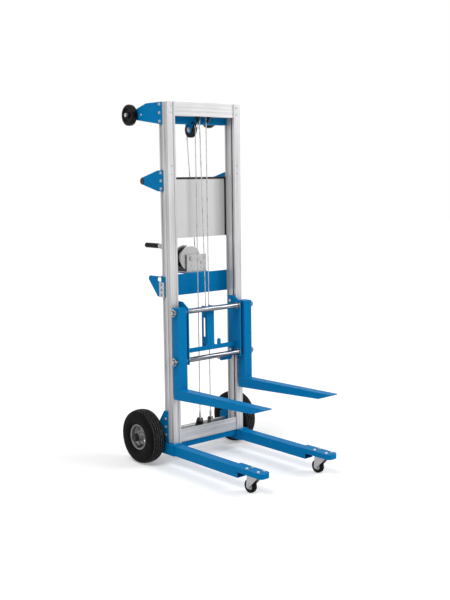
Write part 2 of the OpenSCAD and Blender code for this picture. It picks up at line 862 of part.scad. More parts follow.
// Panel with a flange at each column and a crease down its front
module panel() {
    color(alloy) difference() {
        union() {
            translate([-col_in, panel_y, panel_z]) cube([2 * col_in, panel_t, panel_h]);
            pair() translate([col_in - panel_t, panel_front, panel_z])
                cube([panel_t, panel_y - panel_front + panel_t, panel_h]);
        }
        translate([crease_x, panel_y, panel_z - 1]) rotate(45)
            translate([-crease_w / 2, -crease_w / 2, 0]) cube([crease_w, crease_w, panel_h + 2]);
    }
}

trim_top_w = 8;
trim_side_w = 10;

module panel_trim() {
    x = col_in - panel_t;
    z = panel_z + panel_h;
    color(black) {
        translate([-x, panel_y - trim_t, z - trim_top_w]) cube([2 * x, trim_t, trim_top_w + trim_t]);
        translate([-x, panel_y - trim_t, z]) cube([2 * x, panel_t + 2 * trim_t, trim_t]);
        pair() translate([x - trim_side_w, panel_y - trim_t, panel_z]) cube([trim_side_w, trim_t, panel_h]);
    }
}

bracket_bolt_step = 39;

// Hexagon heads of the bolts through the brackets and the foot plates
module frame_bolts() {
    y = rear_y + bolt_inset;
    bracket_face = col_out + bracket_t;
    foot_face = col_out + foot_t;
    handle_bolt_step = handle_bracket_h / 2 - bolt_inset;
    color(steel) pair() {
        for (d = [-1, 0, 1])
            bar_x(bracket_face, bracket_face + bolt_head, y, mast_h - load_wheel_drop + d * bracket_bolt_step,
                bolt_w, 6);
        for (d = [-1, 0, 1])
            bar_x(bracket_face, bracket_face + bolt_head, y, handle_z + d * handle_bolt_step, bolt_w, 6);
        for (d = [1, 2, 3])
            bar_x(foot_face, foot_face + bolt_head, y, base_top + d * foot_h / 4, bolt_w, 6);
    }
}

// Winch

shelf_margin = 36;
shelf_over = 4;
gusset_low_d = 34;
gusset_edge = 20;
gusset_r = 14;
far_gusset_d = 38;
gusset_slot_l = 40;
gusset_slot_w = 20;
gusset_slot_y = 14;
gusset_slot_drop = 15;

// Side view of a gusset on the outside of a fixed column, with a round corner at its back
module gusset_outline(low, depth) {
    back = mast_back + depth;
    polygon([[rear_y, low], [mast_back + gusset_low_d, low], [back, shelf_z - gusset_edge],
        [back, shelf_z - gusset_r], [back - gusset_r, shelf_z], [rear_y, shelf_z]]);
    translate([back - gusset_r, shelf_z - gusset_r]) circle(gusset_r);
}

// Slot with round ends through the near gusset
module gusset_slot() {
    half = (gusset_slot_l - gusset_slot_w) / 2;
    translate([mast_back + gusset_slot_y, shelf_z - gusset_slot_drop]) {
        square([2 * half, gusset_slot_w], center = true);
        for (y = [-half, half]) translate([y, 0]) circle(d = gusset_slot_w);
    }
}

module winch_bracket() {
    low = shelf_z - winch_plate_h + winch_plate_t;
    back = frame_back + winch_sheet + shelf_over;
    color(blue) {
        slab_y(mast_back, winch_plate_t)
            translate([-col_out - winch_plate_t, low]) square([mast_w + 2 * winch_plate_t, winch_plate_h]);
        translate([drum_x - shelf_margin, mast_back, shelf_z])
            cube([pinion_x - drum_x + 2 * shelf_margin, back - mast_back, winch_plate_t]);
        slab_x(-col_out - winch_plate_t, winch_plate_t) difference() {
            gusset_outline(low, gusset_d);
            gusset_slot();
        }
        slab_x(col_out, winch_plate_t) gusset_outline(low, far_gusset_d);
    }
}

strap_w = 36;
strap_h = 72;
strap_t = 5;
strap_inset = 4;
strap_drop = 27;
strap_hole_d = 10;

// Strap with three holes on the outside of the near gusset
module lock_strap() {
    y = rear_y + strap_inset;
    low = shelf_z - strap_drop - strap_h;
    color(steel) slab_x(-col_out - winch_plate_t - strap_t, strap_t) difference() {
        translate([y, low]) square([strap_w, strap_h]);
        for (k = [-1 : 1]) translate([y + strap_w / 2, low + strap_h / 2 + k * strap_h / 3])
            circle(d = strap_hole_d);
    }
}

frame_left = 28;
frame_right = 30;
frame_rise = 18;

module winch_frame() {
    x0 = drum_x - frame_left;
    w = pinion_x + frame_right - x0;
    z = shelf_z + winch_plate_t;
    color(steel) difference() {
        union() {
            translate([x0, frame_front, z]) cube([w, frame_back + winch_sheet - frame_front, winch_sheet]);
            for (y = [frame_front, frame_back]) slab_y(y, winch_sheet)
                translate([x0, z]) square([w, drum_z + frame_rise - z]);
        }
        bar_y(frame_front - 1, frame_back + winch_sheet + 1, drum_x, drum_z, drum_shaft_d + 2 * run_fit);
        bar_y(frame_front - 1, frame_back + winch_sheet + 1, pinion_x, pinion_z, crank_shaft_d + 2 * run_fit);
    }
}

shaft_over = 4;
shaft_head_t = 8;
shaft_rim = 4;

module drum_shaft() {
    color(steel) {
        bar_y(frame_front - shaft_over, frame_back + winch_sheet + shaft_over, drum_x, drum_z, drum_shaft_d);
        bar_y(frame_front - shaft_head_t, frame_front, drum_x, drum_z, drum_shaft_d + 2 * shaft_rim, 6);
    }
}

// Outline of an involute gear with a tooth on the X axis
function involute(rb, r) = let (t = sqrt(max(0, r * r / rb / rb - 1)))
    t * 180 / PI - atan(t);

function gear_points(n) = let (
        r = gear_module * n / 2,
        rb = r * cos(20),
        tip = r + 0.75 * gear_module,
        root = r - 1.1 * gear_module,
        half = 90 / n - gear_backlash / 4 / r * 180 / PI,
        low = max(root, rb),
        flank = [for (k = [0 : 4]) let (q = low + (tip - low) * k / 4)
            [q, half + involute(rb, r) - involute(rb, q)]],
        side = concat([[root, flank[0][1]]], low > root ? flank : [for (k = [1 : 4]) flank[k]])
    )
    [for (i = [0 : n - 1], k = [0 : 2 * len(side) - 1]) let (
            s = k < len(side) ? [side[k][0], -side[k][1]] : side[2 * len(side) - 1 - k],
            a = i * 360 / n + s[1])
        s[0] * [cos(a), sin(a)]];

drum_boss_rim = 6;

module drum() {
    core = wind_r - rope_d / 2 - slide_gap;
    color(steel) difference() {
        union() {
            bar_y(drum_y, drum_back, drum_x, drum_z, 2 * core);
            for (y = [drum_y, drum_back - drum_flange_t])
                bar_y(y, y + drum_flange_t, drum_x, drum_z, drum_flange_d);
            slab_y(gear_y, gear_w) translate([drum_x, drum_z]) rotate(-pinion_angle)
                polygon(gear_points(gear_teeth));
            bar_y(frame_front + winch_sheet + slide_gap, frame_back - slide_gap, drum_x, drum_z,
                drum_shaft_d + 2 * drum_boss_rim);
        }
        bar_y(frame_front, frame_back + winch_sheet, drum_x, drum_z, drum_shaft_d + 2 * run_fit);
    }
}

crank_nut_t = 7;

module crank_shaft() {
    nut_y = crank_y + crank_t;
    rim = crank_shaft_d + 2 * shaft_rim;
    color(steel) {
        bar_y(frame_front - shaft_over, nut_y + crank_nut_t, pinion_x, pinion_z, crank_shaft_d);
        slab_y(gear_y, gear_w) translate([pinion_x, pinion_z])
            rotate(180 - pinion_angle + 180 / pinion_teeth) polygon(gear_points(pinion_teeth));
        bar_y(frame_back + winch_sheet + slide_gap, crank_y, pinion_x, pinion_z, rim);
        bar_y(nut_y, nut_y + crank_nut_t, pinion_x, pinion_z, rim, 6);
    }
}

crank_w = 22;
crank_hub_d = 30;
grip_pin_d = 10;
grip_pin_rim = 3;
grip_gap = 4;
grip_cap_t = 4;
grip_y = crank_y + crank_t + grip_gap;

module crank_arm() {
    grip_end = grip_y + grip_len;
    color(steel) {
        slab_y(crank_y, crank_t) difference() {
            translate([pinion_x, pinion_z]) rotate(180 - crank_angle) {
                translate([0, -crank_w / 2]) square([crank_r, crank_w]);
                circle(d = crank_hub_d);
                translate([crank_r, 0]) circle(d = crank_w);
            }
            translate([pinion_x, pinion_z]) circle(d = crank_shaft_d + 2 * seat_fit);
        }
        bar_y(crank_y, grip_end + grip_cap_t, crank_end[0], crank_end[1], grip_pin_d);
        for (y = [[crank_y, grip_y - slide_gap], [grip_end + slide_gap, grip_end + grip_cap_t]])
            bar_y(y[0], y[1], crank_end[0], crank_end[1], grip_pin_d + 2 * grip_pin_rim);
    }
}

grip_rings = 9;
ring_depth = 2;

module grip() {
    ring_pitch = grip_len / grip_rings;
    color(black) translate([crank_end[0], grip_y, crank_end[1]]) rotate([-90, 0, 0])
        rotate_extrude() difference() {
            union() {
                square([grip_d / 2 - ring_depth, grip_len]);
                for (i = [0 : grip_rings - 1])
                    translate([0, (i + 0.2) * ring_pitch]) square([grip_d / 2, ring_pitch * 0.6]);
            }
            translate([-1, -1]) square([grip_pin_d / 2 + run_fit + 1, grip_len + 2]);
        }
}

// Ropes and sheaves

// Route of the winding: out of the rear flange, along the drum in turns, then off on the tangent
wind_rings = 24;
wind_back = drum_back - drum_flange_t;
wind_start = wind_back - rope_d - 2;
function wind_at(i) = let (a = i * 360 / wind_rings)
    [wind_r * cos(a), wind_start - wind_pitch * i / wind_rings, wind_r * sin(a)];
wind_path = concat(
    [for (k = [2, 1, 0]) [wind_r, wind_start + 1.2 + k * rope_d / 2, -rope_d / 2 - 1]],
    [[wind_r, wind_start + 0.5, -1.8]],
    [for (i = [0 : wind_turns * wind_rings]) wind_at(i)],
    [for (k = [1, 2]) wind_at(wind_turns * wind_rings) + [0, 0, k * rope_d / 2]]);

// One unbroken rope along a path, as rings of points; side holds a vector across the rope at each point
function unit(v) = v / norm(v);
function rope_ring(path, i, side, sides) = let (
        last = len(path) - 1,
        t = unit(path[min(i + 1, last)] - path[max(i - 1, 0)]),
        b = unit(cross(t, side)),
        c = cross(b, t))
    [for (k = [0 : sides - 1]) path[i] + rope_d / 2 * (cos(360 / sides * k) * c + sin(360 / sides * k) * b)];

module rope_along(path, side, sides) {
    n = len(path);
    last = sides * (n - 1);
    polyhedron(
        points = [for (i = [0 : n - 1]) each rope_ring(path, i, side[i], sides)],
        faces = concat(
            [for (k = [1 : sides - 2]) [0, k, k + 1]],
            [for (k = [1 : sides - 2]) [last, last + k + 1, last + k]],
            [for (i = [0 : n - 2], k = [0 : sides - 1])
                let (a = sides * i + k, b = sides * i + (k + 1) % sides)
                each [[a, a + sides, b], [b, a + sides, b + sides]]]));
}

wind_self_gap = min([for (i = [0 : len(wind_path) - 1], j = [i + 12 : 1 : len(wind_path) - 1])
    norm(wind_path[i] - wind_path[j])]) - rope_d;
echo(rope_winding_least_gap = wind_self_gap);

module rope_winding() {
    color(steel) translate([drum_x, 0, drum_z])
        rope_along(wind_path, [for (p = wind_path) [p[0], 0, p[2]]], 6);
}

// Route of the winch rope: from just above the sweep of the winding, then over its sheave to the front
wind_clear = sqrt(pow(wind_r + rope_d, 2) - pow(wind_r - rope_d / 2, 2));
wind_end = [drum_x, 0, drum_z] + wind_at(wind_turns * wind_rings) + [0, 0, wind_clear];
bend_steps = 24;
winch_path = concat([wind_end],
    [for (i = [0 : bend_steps]) let (a = 180 * i / bend_steps)
        [winch_sheave_x, winch_sheave_y, winch_sheave_z] + winch_sheave_r * [0, cos(a), sin(a)]]);

module winch_rope() {
    color(steel) rope_along(winch_path, [for (p = winch_path) [1, 0, 0]], 12);
}

module lift_rope() {
    color(steel) difference() {
        union() {
            bar_z(lug_z, winch_sheave_z - slide_gap, winch_sheave_x, lift_rope_y, rope_d);
            rope_eye(winch_sheave_x, lift_rope_y, lug_z);
        }
        bar_x(winch_sheave_x - 2 * rope_d, winch_sheave_x + 2 * rope_d, lift_rope_y, lug_z,
            lug_bolt_d + 2 * seat_fit);
    }
}

module carriage_rope_rise() {
    color(steel) difference() {
        union() {
            bar_z(lug_z, mast_sheave_z - slide_gap, rise_x, mast_sheave_y, rope_d);
            rope_eye(rise_x, mast_sheave_y, lug_z);
        }
        bar_x(rise_x - 2 * rope_d, rise_x + 2 * rope_d, mast_sheave_y, lug_z, lug_bolt_d + 2 * seat_fit);
    }
}

module carriage_rope_bend() {
    color(steel) translate([mast_sheave_x, mast_sheave_y, mast_sheave_z]) rotate([90, 0, 0])
        rotate_extrude(angle = 180) translate([mast_sheave_r, 0]) circle(d = rope_d, $fn = 24);
}

// Route of the rope down to the carriage: straight up through the anchor plate, then to the sheave
fall_path = [anchor - [0, 0, 2 * rope_d], anchor + [0, 0, 4 * rope_d],
    [fall_x, mast_sheave_y, mast_sheave_z - slide_gap]];

module carriage_rope_fall() {
    color(steel) {
        rope_along(fall_path, [for (p = fall_path) [1, 0, 0]], 12);
        bar_z(anchor[2] - 3 * rope_d, anchor[2] - slide_gap, anchor[0], anchor[1], 2 * rope_d);
    }
}

// A lug with a round end at its bolt
module rope_lug(x, y, z0) {
    slab_x(x, lug_t) difference() {
        union() {
            polygon([[y - lug_half, z0], [y + lug_half, z0],
                [y + lug_bolt_d, lug_z], [y - lug_bolt_d, lug_z]]);
            translate([y, lug_z]) circle(lug_bolt_d);
        }
        translate([y, lug_z]) circle(d = lug_bolt_d + 2 * seat_fit);
    }
}

// A bolt through a lug and a rope eye, with a hexagon head on the rope's side
module lug_bolt(x0, x1, y, head) {
    bar_x(x0, x1, y, lug_z, lug_bolt_d);
    bar_x(head, head + bolt_head, y, lug_z, lug_bolt_d + 6, 6);
}

module base_rope_lug() {
    head = rise_x + rope_d + slide_gap;
    color(black) rope_lug(base_lug_x, mast_sheave_y, base_top);
    color(steel) lug_bolt(base_lug_x - bolt_head, head, mast_sheave_y, head);
}

module mast_rope_lug() {
    head = winch_sheave_x - rope_d - slide_gap - bolt_head;
    color(black) rope_lug(mast_lug_x, lift_rope_y, mast_z + beam_t);
    color(steel) lug_bolt(head, mast_lug_x + lug_t + bolt_head, lift_rope_y, head);
}

module winch_sheave() {
    color(black) translate([winch_sheave_x, winch_sheave_y, winch_sheave_z]) rotate([0, 90, 0])
        sheave(winch_sheave_r);
}

module mast_sheave() {
    color(black) translate([mast_sheave_x, mast_sheave_y, mast_sheave_z]) rotate([90, 0, 0])
        sheave(mast_sheave_r);
}

// Moving mast

stud_room = 1;

// Section of a moving column: a roller channel with a narrow mouth, a slot round the rail behind it,
// a groove along the outside and a raised edge on the front
module moving_profile() {
    mouth_w = stud_d + 2 * stud_room;
    difference() {
        union() {
            translate([col_in, 0]) square([col_w, front_d]);
            translate([col_in, -edge_h]) square([edge_w, edge_h + flange_t]);
        }
        translate([col_in + channel_lip, flange_t]) square([channel_d - channel_lip, roller_slot]);
        translate([col_in - 1, roller_y - mouth_w / 2]) square([channel_lip + 2, mouth_w]);
        translate([rail_x - rail_slot_w / 2, rail_slot_y]) square([rail_slot_w, rail_slot_d]);
        translate([rail_x - rail_mouth_w / 2, rail_slot_y]) square([rail_mouth_w, front_d]);
        translate([col_out - groove_d, flange_t]) square([groove_d + 1, groove_w]);
    }
}

module moving_columns() {
    color(alloy) pair() translate([0, 0, mast_z]) linear_extrude(mast_h - mast_z) moving_profile();
}

module moving_pads() {
    color(black) pair() translate([0, 0, mast_z + pad_inset]) linear_extrude(pad_len) difference() {
        rail_outline(pad_room);
        rail_outline(slide_gap);
        translate([col_in, front_d - flange_t + pad_room]) square([col_w, flange_t]);
    }
}

module top_beam() {
    color(alloy) difference() {
        translate([-col_in, beam_y, mast_h - beam_h]) cube([2 * col_in, beam_d, beam_h]);
        translate([-col_in - 1, beam_y + beam_t, mast_h - beam_h - 1])
            cube([2 * col_in + 2, beam_d - 2 * beam_t, beam_h - beam_t + 1]);
        bar_y(beam_d / 2, beam_d + 2, mast_sheave_x, mast_sheave_z, sheave_pin_d + 2 * seat_fit);
    }
}

sheave_pin_rim = 3;

// Pin through the top beam with a spacer on each side of the sheave and a hexagon head at the back
module mast_sheave_pin() {
    front = beam_y + beam_t;
    wall = beam_y + beam_d;
    rim = sheave_pin_d + 2 * sheave_pin_rim;
    color(steel) {
        bar_y(front, wall + bolt_head, mast_sheave_x, mast_sheave_z, sheave_pin_d);
        bar_y(front, mast_sheave_y - cheek, mast_sheave_x, mast_sheave_z, rim);
        bar_y(mast_sheave_y + cheek, wall - beam_t, mast_sheave_x, mast_sheave_z, rim);
        bar_y(wall, wall + bolt_head, mast_sheave_x, mast_sheave_z, rim, 6);
    }
}

beam_y = 1;
guard_gap = 1;

// Rope guards beside the sheave: plates inside the beam that taper down to a point
module beam_lugs() {
    reach = mast_sheave_r + sheave_lip + guard_gap;
    front = beam_y + beam_t;
    back = beam_y + beam_d - beam_t;
    z = mast_h - beam_h;
    color(black) for (x = [mast_sheave_x - reach - lug_t, mast_sheave_x + reach]) slab_x(x, lug_t)
        polygon([[front, z + guard_seat], [back, z + guard_seat], [back, z],
            [mast_sheave_y + guard_tip / 2, z - guard_drop],
            [mast_sheave_y - guard_tip / 2, z - guard_drop], [front, z]]);
}

guard_seat = 24;
guard_drop = 28;
guard_tip = 12;

sill_y = 2;
lug_room = 5;

// Channel between the feet of the moving columns, open below the rope lug of the base
module bottom_channel() {
    x0 = base_lug_x - bolt_head - lug_room;
    x1 = rise_x + rope_d + bolt_head + lug_room;
    color(alloy) difference() {
        union() {
            translate([-col_in, sill_y, mast_z]) cube([2 * col_in, sill_d, beam_t]);
            translate([-col_in, sill_y, mast_z]) cube([2 * col_in, beam_t, beam_h]);
            translate([-col_in, sill_y + sill_d - beam_t, mast_z]) cube([2 * col_in, beam_t, sill_rear_h]);
        }
        translate([x0, sill_y + beam_t, mast_z - 1]) cube([x1 - x0, sill_d - 2 * beam_t, beam_t + 2]);
    }
}

// Carriage

slot_drop = 140;
slot_z = carriage_top - slot_drop;
side_back = rail_slot_y + 8;
side_front = 12;
side_rim = 16;

module carriage_side() {
    slab_x(side_x, side_t) difference() {
        polygon([[side_back, carriage_z], [side_back, carriage_top], [-side_front, carriage_top],
            [-rod_y - side_rim, rod_upper_z + side_rim], [-rod_y - side_rim, carriage_z]]);
        for (z = [rod_upper_z, rod_lower_z]) translate([-rod_y, z]) circle(d = rod_d + 2 * seat_fit);
        for (z = [roller_upper_z, roller_lower_z]) translate([roller_y, z]) circle(d = stud_d + 2 * seat_fit);
    }
}

strip_rise = 50;
strip_z = carriage_z + strip_rise;
strip_h = 22;
window_r = 10;

// Front sheet with two windows that have round corners
module carriage_front() {
    r = window_r;
    win_w = side_x - post_w / 2;
    win_h = front_top - strip_z - 2 * strip_h;
    slab_y(-front_y - front_t, front_t) difference() {
        translate([-side_x, strip_z]) square([2 * side_x, front_top - strip_z]);
        for (s = [-1, 1]) translate([s * (post_w + win_w) / 2 - win_w / 2, strip_z + strip_h]) {
            translate([r, 0]) square([win_w - 2 * r, win_h]);
            translate([0, r]) square([win_w, win_h - 2 * r]);
            for (x = [r, win_w - r], z = [r, win_h - r]) translate([x, z]) circle(r);
        }
    }
}

post_t = 3;
anchor_t = 6;
anchor_room = 1;
latch_x = 104;
latch_d = 10;
latch_pin_len = 12;
latch_z = strip_z + 8;

module carriage_frame() {
    color(blue) {
        pair() carriage_side();
        carriage_front();
        pair() slab_x(post_w / 2 - post_t, post_t) difference() {
            translate([-front_y, strip_z]) square([post_d, front_top - strip_z]);
            translate([-front_y + post_d / 2 - slot_w / 2, slot_z - slot_len / 2 + slot_w / 2])
                square([slot_w, slot_len - slot_w]);
            for (s = [-1, 1])
                translate([-front_y + post_d / 2, slot_z + s * (slot_len - slot_w) / 2]) circle(d = slot_w);
        }
        difference() {
            translate([post_t - post_w / 2, -front_y, anchor[2]])
                cube([post_w - 2 * post_t, post_d, anchor_t]);
            bar_z(anchor[2] - 1, anchor[2] + anchor_t + 1, anchor[0], anchor[1], rope_d + 2 * anchor_room);
        }
        bar_y(-front_y, latch_pin_len - front_y, latch_x, latch_z, latch_d);
    }
}

rod_bore = 13;
rod_bore_depth = 20;
pin_d = 6;
pin_inset = 9;
pin_x = rod_reach - pin_inset;
pin_ring_r = 12;
pin_wire_d = 2.4;
collar_t = 4;

// Rods with hollow ends, cross holes for the pins and collars against the carriage sides
module fork_rods() {
    color(steel) for (z = [rod_upper_z, rod_lower_z]) difference() {
        union() {
            bar_x(-rod_reach, rod_reach, -rod_y, z, rod_d);
            pair() bar_x(side_x - collar_t, side_x, -rod_y, z, rod_d + 2 * collar_t);
        }
        pair() {
            bar_x(rod_reach - rod_bore_depth, rod_reach + 1, -rod_y, z, rod_bore);
            bar_z(z - rod_d, z + rod_d, pin_x, -rod_y, pin_d + 2 * seat_fit);
        }
    }
}

// Cross pins that keep the forks on the rods; the far ones carry a pull ring
module rod_pins() {
    over = rod_d / 2 + pin_d;
    color(steel) for (z = [rod_upper_z, rod_lower_z]) {
        pair() bar_z(z - over, z + over, pin_x, -rod_y, pin_d);
        translate([pin_x, -rod_y, z + over + pin_ring_r - pin_wire_d]) rotate([0, 90, 0])
            rotate_extrude() translate([pin_ring_r, 0]) circle(d = pin_wire_d, $fn = 16);
    }
}

stud_head_t = 6;
stud_rim = 4;
stud_cap_t = 3;
roller_in = col_in + channel_lip + stud_room;
roller_out = roller_in + roller_w;

// Studs through the carriage sides: a head inside, a collar before the column and a cap past the roller
module roller_studs() {
    color(steel) pair() for (z = [roller_upper_z, roller_lower_z]) {
        bar_x(side_x - stud_head_t, roller_out + stud_cap_t, roller_y, z, stud_d);
        bar_x(side_x - stud_head_t, side_x, roller_y, z, stud_d + 2 * stud_rim, 6);
        bar_x(side_x + side_t, col_in - stud_room, roller_y, z, stud_d + 2 * stud_rim);
        bar_x(roller_out + slide_gap, roller_out + stud_cap_t, roller_y, z, stud_d + stud_rim);
    }
}

module rollers(z) {
    color(steel) pair() translate([roller_in + roller_w / 2, roller_y, z]) rotate([0, 90, 0])
        difference() {
            cylinder(d = roller_d, h = roller_w, center = true);
            cylinder(d = stud_d + 2 * run_fit, h = roller_w + 2, center = true);
        }
}

module upper_rollers() { rollers(roller_upper_z); }
module lower_rollers() { rollers(roller_lower_z); }

shank_back = shank_d / 2 - rod_y;
shank_front = -shank_d / 2 - rod_y;
land_y = shank_front - heel_land;
point_y = blade_point - fork_reach;
tip_t = 4;

// Side view of a fork: upright shank, a short level land and a blade that rises a little to its point
module fork_outline() {
    tip_z = blade_z + blade_rise;
    polygon([[shank_back, blade_z - blade_d], [shank_back, shank_top], [shank_front, shank_top],
        [shank_front, blade_z], [land_y, blade_z], [-fork_reach, tip_z], [-fork_reach, tip_z - tip_t],
        [point_y, tip_z - blade_tip_d]]);
}

// Side view of the hollow inside a fork
module fork_hollow() {
    tip_z = blade_z + blade_rise * (land_y - point_y) / (land_y + fork_reach);
    low_z = blade_z + blade_rise - blade_tip_d + fork_t;
    polygon([[shank_back - fork_t, blade_z - blade_d + fork_t], [shank_back - fork_t, shank_top - fork_t],
        [shank_front + fork_t, shank_top - fork_t], [shank_front + fork_t, blade_z - fork_t],
        [land_y, blade_z - fork_t], [point_y, tip_z - fork_t], [point_y, low_z]]);
}

module fork(side) {
    color(blue) difference() {
        slab_x(side * fork_x - fork_w / 2, fork_w) fork_outline();
        slab_x(side * fork_x - fork_w / 2 + fork_t, fork_w - 2 * fork_t) fork_hollow();
        for (z = [rod_upper_z, rod_lower_z])
            bar_x(side * fork_x - fork_w, side * fork_x + fork_w, -rod_y, z, rod_d + 2 * seat_fit);
    }
}

module fork_near() { fork(-1); }
module fork_far() { fork(1); }

latch_t = 5;
latch_w = 18;
latch_left = 58;
latch_right = 48;
latch_tab_w = 20;
latch_tab_h = 31;
latch_hook_w = 12;
latch_hook_h = 30;

// Lever with a round thumb tab at one end and a hook at the other
module latch_lever() {
    left = latch_x - latch_left;
    right = latch_x + latch_right;
    low = latch_z - latch_w / 2;
    color(blue) slab_y(slide_gap - front_y, latch_t) difference() {
        union() {
            translate([left, low]) square([latch_left + latch_right, latch_w]);
            translate([left, low]) square([latch_tab_w, latch_w / 2 + latch_tab_h]);
            translate([left + latch_tab_w / 2, latch_z + latch_tab_h]) circle(d = latch_tab_w);
            translate([right - latch_hook_w, latch_z - latch_hook_h])
                square([latch_hook_w, latch_hook_h + latch_w / 2]);
        }
        translate([latch_x, latch_z]) circle(d = latch_d + 2 * run_fit);
    }
}

base_frame();
legs();
caster_mounts();
caster_plates();
foot_plates();
axle();
fixed_columns();
fixed_pads();
top_crossmember();
sheave_clevis();
top_brackets();
load_wheel_bolts();
handle_brackets();
push_handle();
panel();
panel_trim();
winch_bracket();
lock_strap();
winch_frame();
drum_shaft();
base_rope_lug();
winch_rope();
moving_columns();
moving_pads();
top_beam();
beam_lugs();
bottom_channel();
mast_rope_lug();
mast_sheave_pin();
carriage_rope_bend();
lift_rope();
carriage_rope_rise();
carriage_rope_fall();
carriage_frame();
fork_rods();
rod_pins();
roller_studs();
fork_near();
fork_far();
upper_rollers();
lower_rollers();
latch_lever();
drum();
rope_winding();
crank_shaft();
crank_arm();
grip();
tyre_near();
tyre_far();
rim_near();
rim_far();
caster_fork_near();
caster_fork_far();
caster_wheel_near();
caster_wheel_far();
load_wheel_near();
load_wheel_far();
winch_sheave();
mast_sheave();
frame_bolts();
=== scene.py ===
import math

import bmesh
import bpy
from mathutils import Matrix, Vector


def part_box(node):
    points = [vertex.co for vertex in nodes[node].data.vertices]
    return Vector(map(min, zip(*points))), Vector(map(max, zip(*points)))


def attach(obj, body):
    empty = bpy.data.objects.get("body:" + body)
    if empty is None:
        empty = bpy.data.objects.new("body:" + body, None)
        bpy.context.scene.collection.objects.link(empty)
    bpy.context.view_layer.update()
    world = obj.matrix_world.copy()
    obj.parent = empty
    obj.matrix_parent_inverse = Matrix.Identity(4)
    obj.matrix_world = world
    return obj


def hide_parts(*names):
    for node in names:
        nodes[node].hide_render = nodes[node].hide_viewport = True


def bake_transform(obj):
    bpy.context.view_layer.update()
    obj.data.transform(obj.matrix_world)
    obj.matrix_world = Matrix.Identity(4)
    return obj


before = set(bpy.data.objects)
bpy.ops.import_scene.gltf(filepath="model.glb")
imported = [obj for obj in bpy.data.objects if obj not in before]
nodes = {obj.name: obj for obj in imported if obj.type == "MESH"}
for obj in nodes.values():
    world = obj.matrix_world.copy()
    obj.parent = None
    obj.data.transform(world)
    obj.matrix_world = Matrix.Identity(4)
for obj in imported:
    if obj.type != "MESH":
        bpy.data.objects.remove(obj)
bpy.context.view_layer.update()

MM = 0.001
UP = Vector((0, 0, 1))
ACROSS = Vector((1, 0, 0))
BACK = Vector((0, 1, 0))
NEAR, FAR = -1, 1
SIDES = {"near": NEAR, "far": FAR}
DRUM = Vector((-24, 0, 987)) * MM


# Camera, from the photograph's viewing angle
PHOTO_H = 600
FOCAL_PIXELS = 956.7
SENSOR = 36
CAMERA_PLACE = Vector((-2.926, -3.581, 1.382))
CAMERA_TURN = math.radians(40.31)
CAMERA_FALL = math.radians(-7.35)
CAMERA_ROLL = math.radians(-0.76)


def set_camera():
    camera = bpy.data.cameras.new("photo_camera")
    camera.sensor_fit = "VERTICAL"
    camera.sensor_height = SENSOR
    camera.lens = FOCAL_PIXELS * SENSOR / PHOTO_H
    holder = bpy.data.objects.new("photo_camera", camera)
    bpy.context.scene.collection.objects.link(holder)
    level = math.cos(CAMERA_FALL)
    look = Vector((math.sin(CAMERA_TURN) * level, math.cos(CAMERA_TURN) * level, math.sin(CAMERA_FALL)))
    right = look.cross(UP).normalized()
    above = right.cross(look)
    tilted_right = right * math.cos(CAMERA_ROLL) + above * math.sin(CAMERA_ROLL)
    tilted_above = above * math.cos(CAMERA_ROLL) - right * math.sin(CAMERA_ROLL)
    holder.matrix_world = Matrix.Translation(CAMERA_PLACE) @ Matrix(
        (tilted_right, tilted_above, -look)).transposed().to_4x4()
    bpy.context.scene.camera = holder


# Shader building

class Wire:
    """An output of a shader node. Sums on it become Math nodes."""

    def __init__(self, finish, socket):
        self.finish = finish
        self.socket = socket

    def sum(self, operation, first, second):
        return self.finish.node("ShaderNodeMath", {"operation": operation}, {0: first, 1: second})

    def __add__(self, other):
        return self.sum("ADD", self, other)

    def __radd__(self, other):
        return self.sum("ADD", other, self)

    def __sub__(self, other):
        return self.sum("SUBTRACT", self, other)

    def __rsub__(self, other):
        return self.sum("SUBTRACT", other, self)

    def __mul__(self, other):
        return self.sum("MULTIPLY", self, other)

    def __rmul__(self, other):
        return self.sum("MULTIPLY", other, self)


class Finish:
    """A node tree that is filled one node at a time."""

    def __init__(self, tree):
        self.tree = tree

    def feed(self, socket, value):
        if isinstance(value, Wire):
            self.tree.links.new(value.socket, socket)
        else:
            socket.default_value = value

    def node(self, kind, settings=None, inputs=None, out=0):
        made = self.tree.nodes.new(kind)
        for key, value in (settings or {}).items():
            setattr(made, key, value)
        for key, value in (inputs or {}).items():
            self.feed(made.inputs[key], value)
        return Wire(self, made.outputs[out])

    def place(self, stretch=(1, 1, 1)):
        """Places on the piece in metres, so that a finish rides with its body."""
        at = self.node("ShaderNodeTexCoord", out="Object")
        return self.vectors("MULTIPLY", at, stretch)

    def vectors(self, operation, *inputs, out=0):
        return self.node("ShaderNodeVectorMath", {"operation": operation}, dict(enumerate(inputs)), out)

    def grain(self, at, scale, detail=2.0):
        return self.node("ShaderNodeTexNoise", None, {"Vector": at, "Scale": scale, "Detail": detail})

    def spread(self, value, low, high, to_low=0.0, to_high=1.0):
        return self.node("ShaderNodeMapRange", None, {
            "Value": value, "From Min": low, "From Max": high, "To Min": to_low, "To Max": to_high})

    def mix(self, share, first, second):
        return self.node("ShaderNodeMix", {"data_type": "RGBA"}, {0: share, 6: first, 7: second}, out=2)

    def edges(self, reach):
        """1 along the edges of a piece, fading to 0 within reach."""
        rounded = self.node("ShaderNodeBevel", {"samples": 4}, {"Radius": reach})
        flat = self.node("ShaderNodeNewGeometry", out="Normal")
        turn = self.vectors("DOT_PRODUCT", rounded, flat, out="Value")
        return self.spread(1 - turn, 0.01, 0.2)

    def bump(self, height, strength, depth):
        return self.node("ShaderNodeBump", None, {"Strength": strength, "Distance": depth, "Height": height})


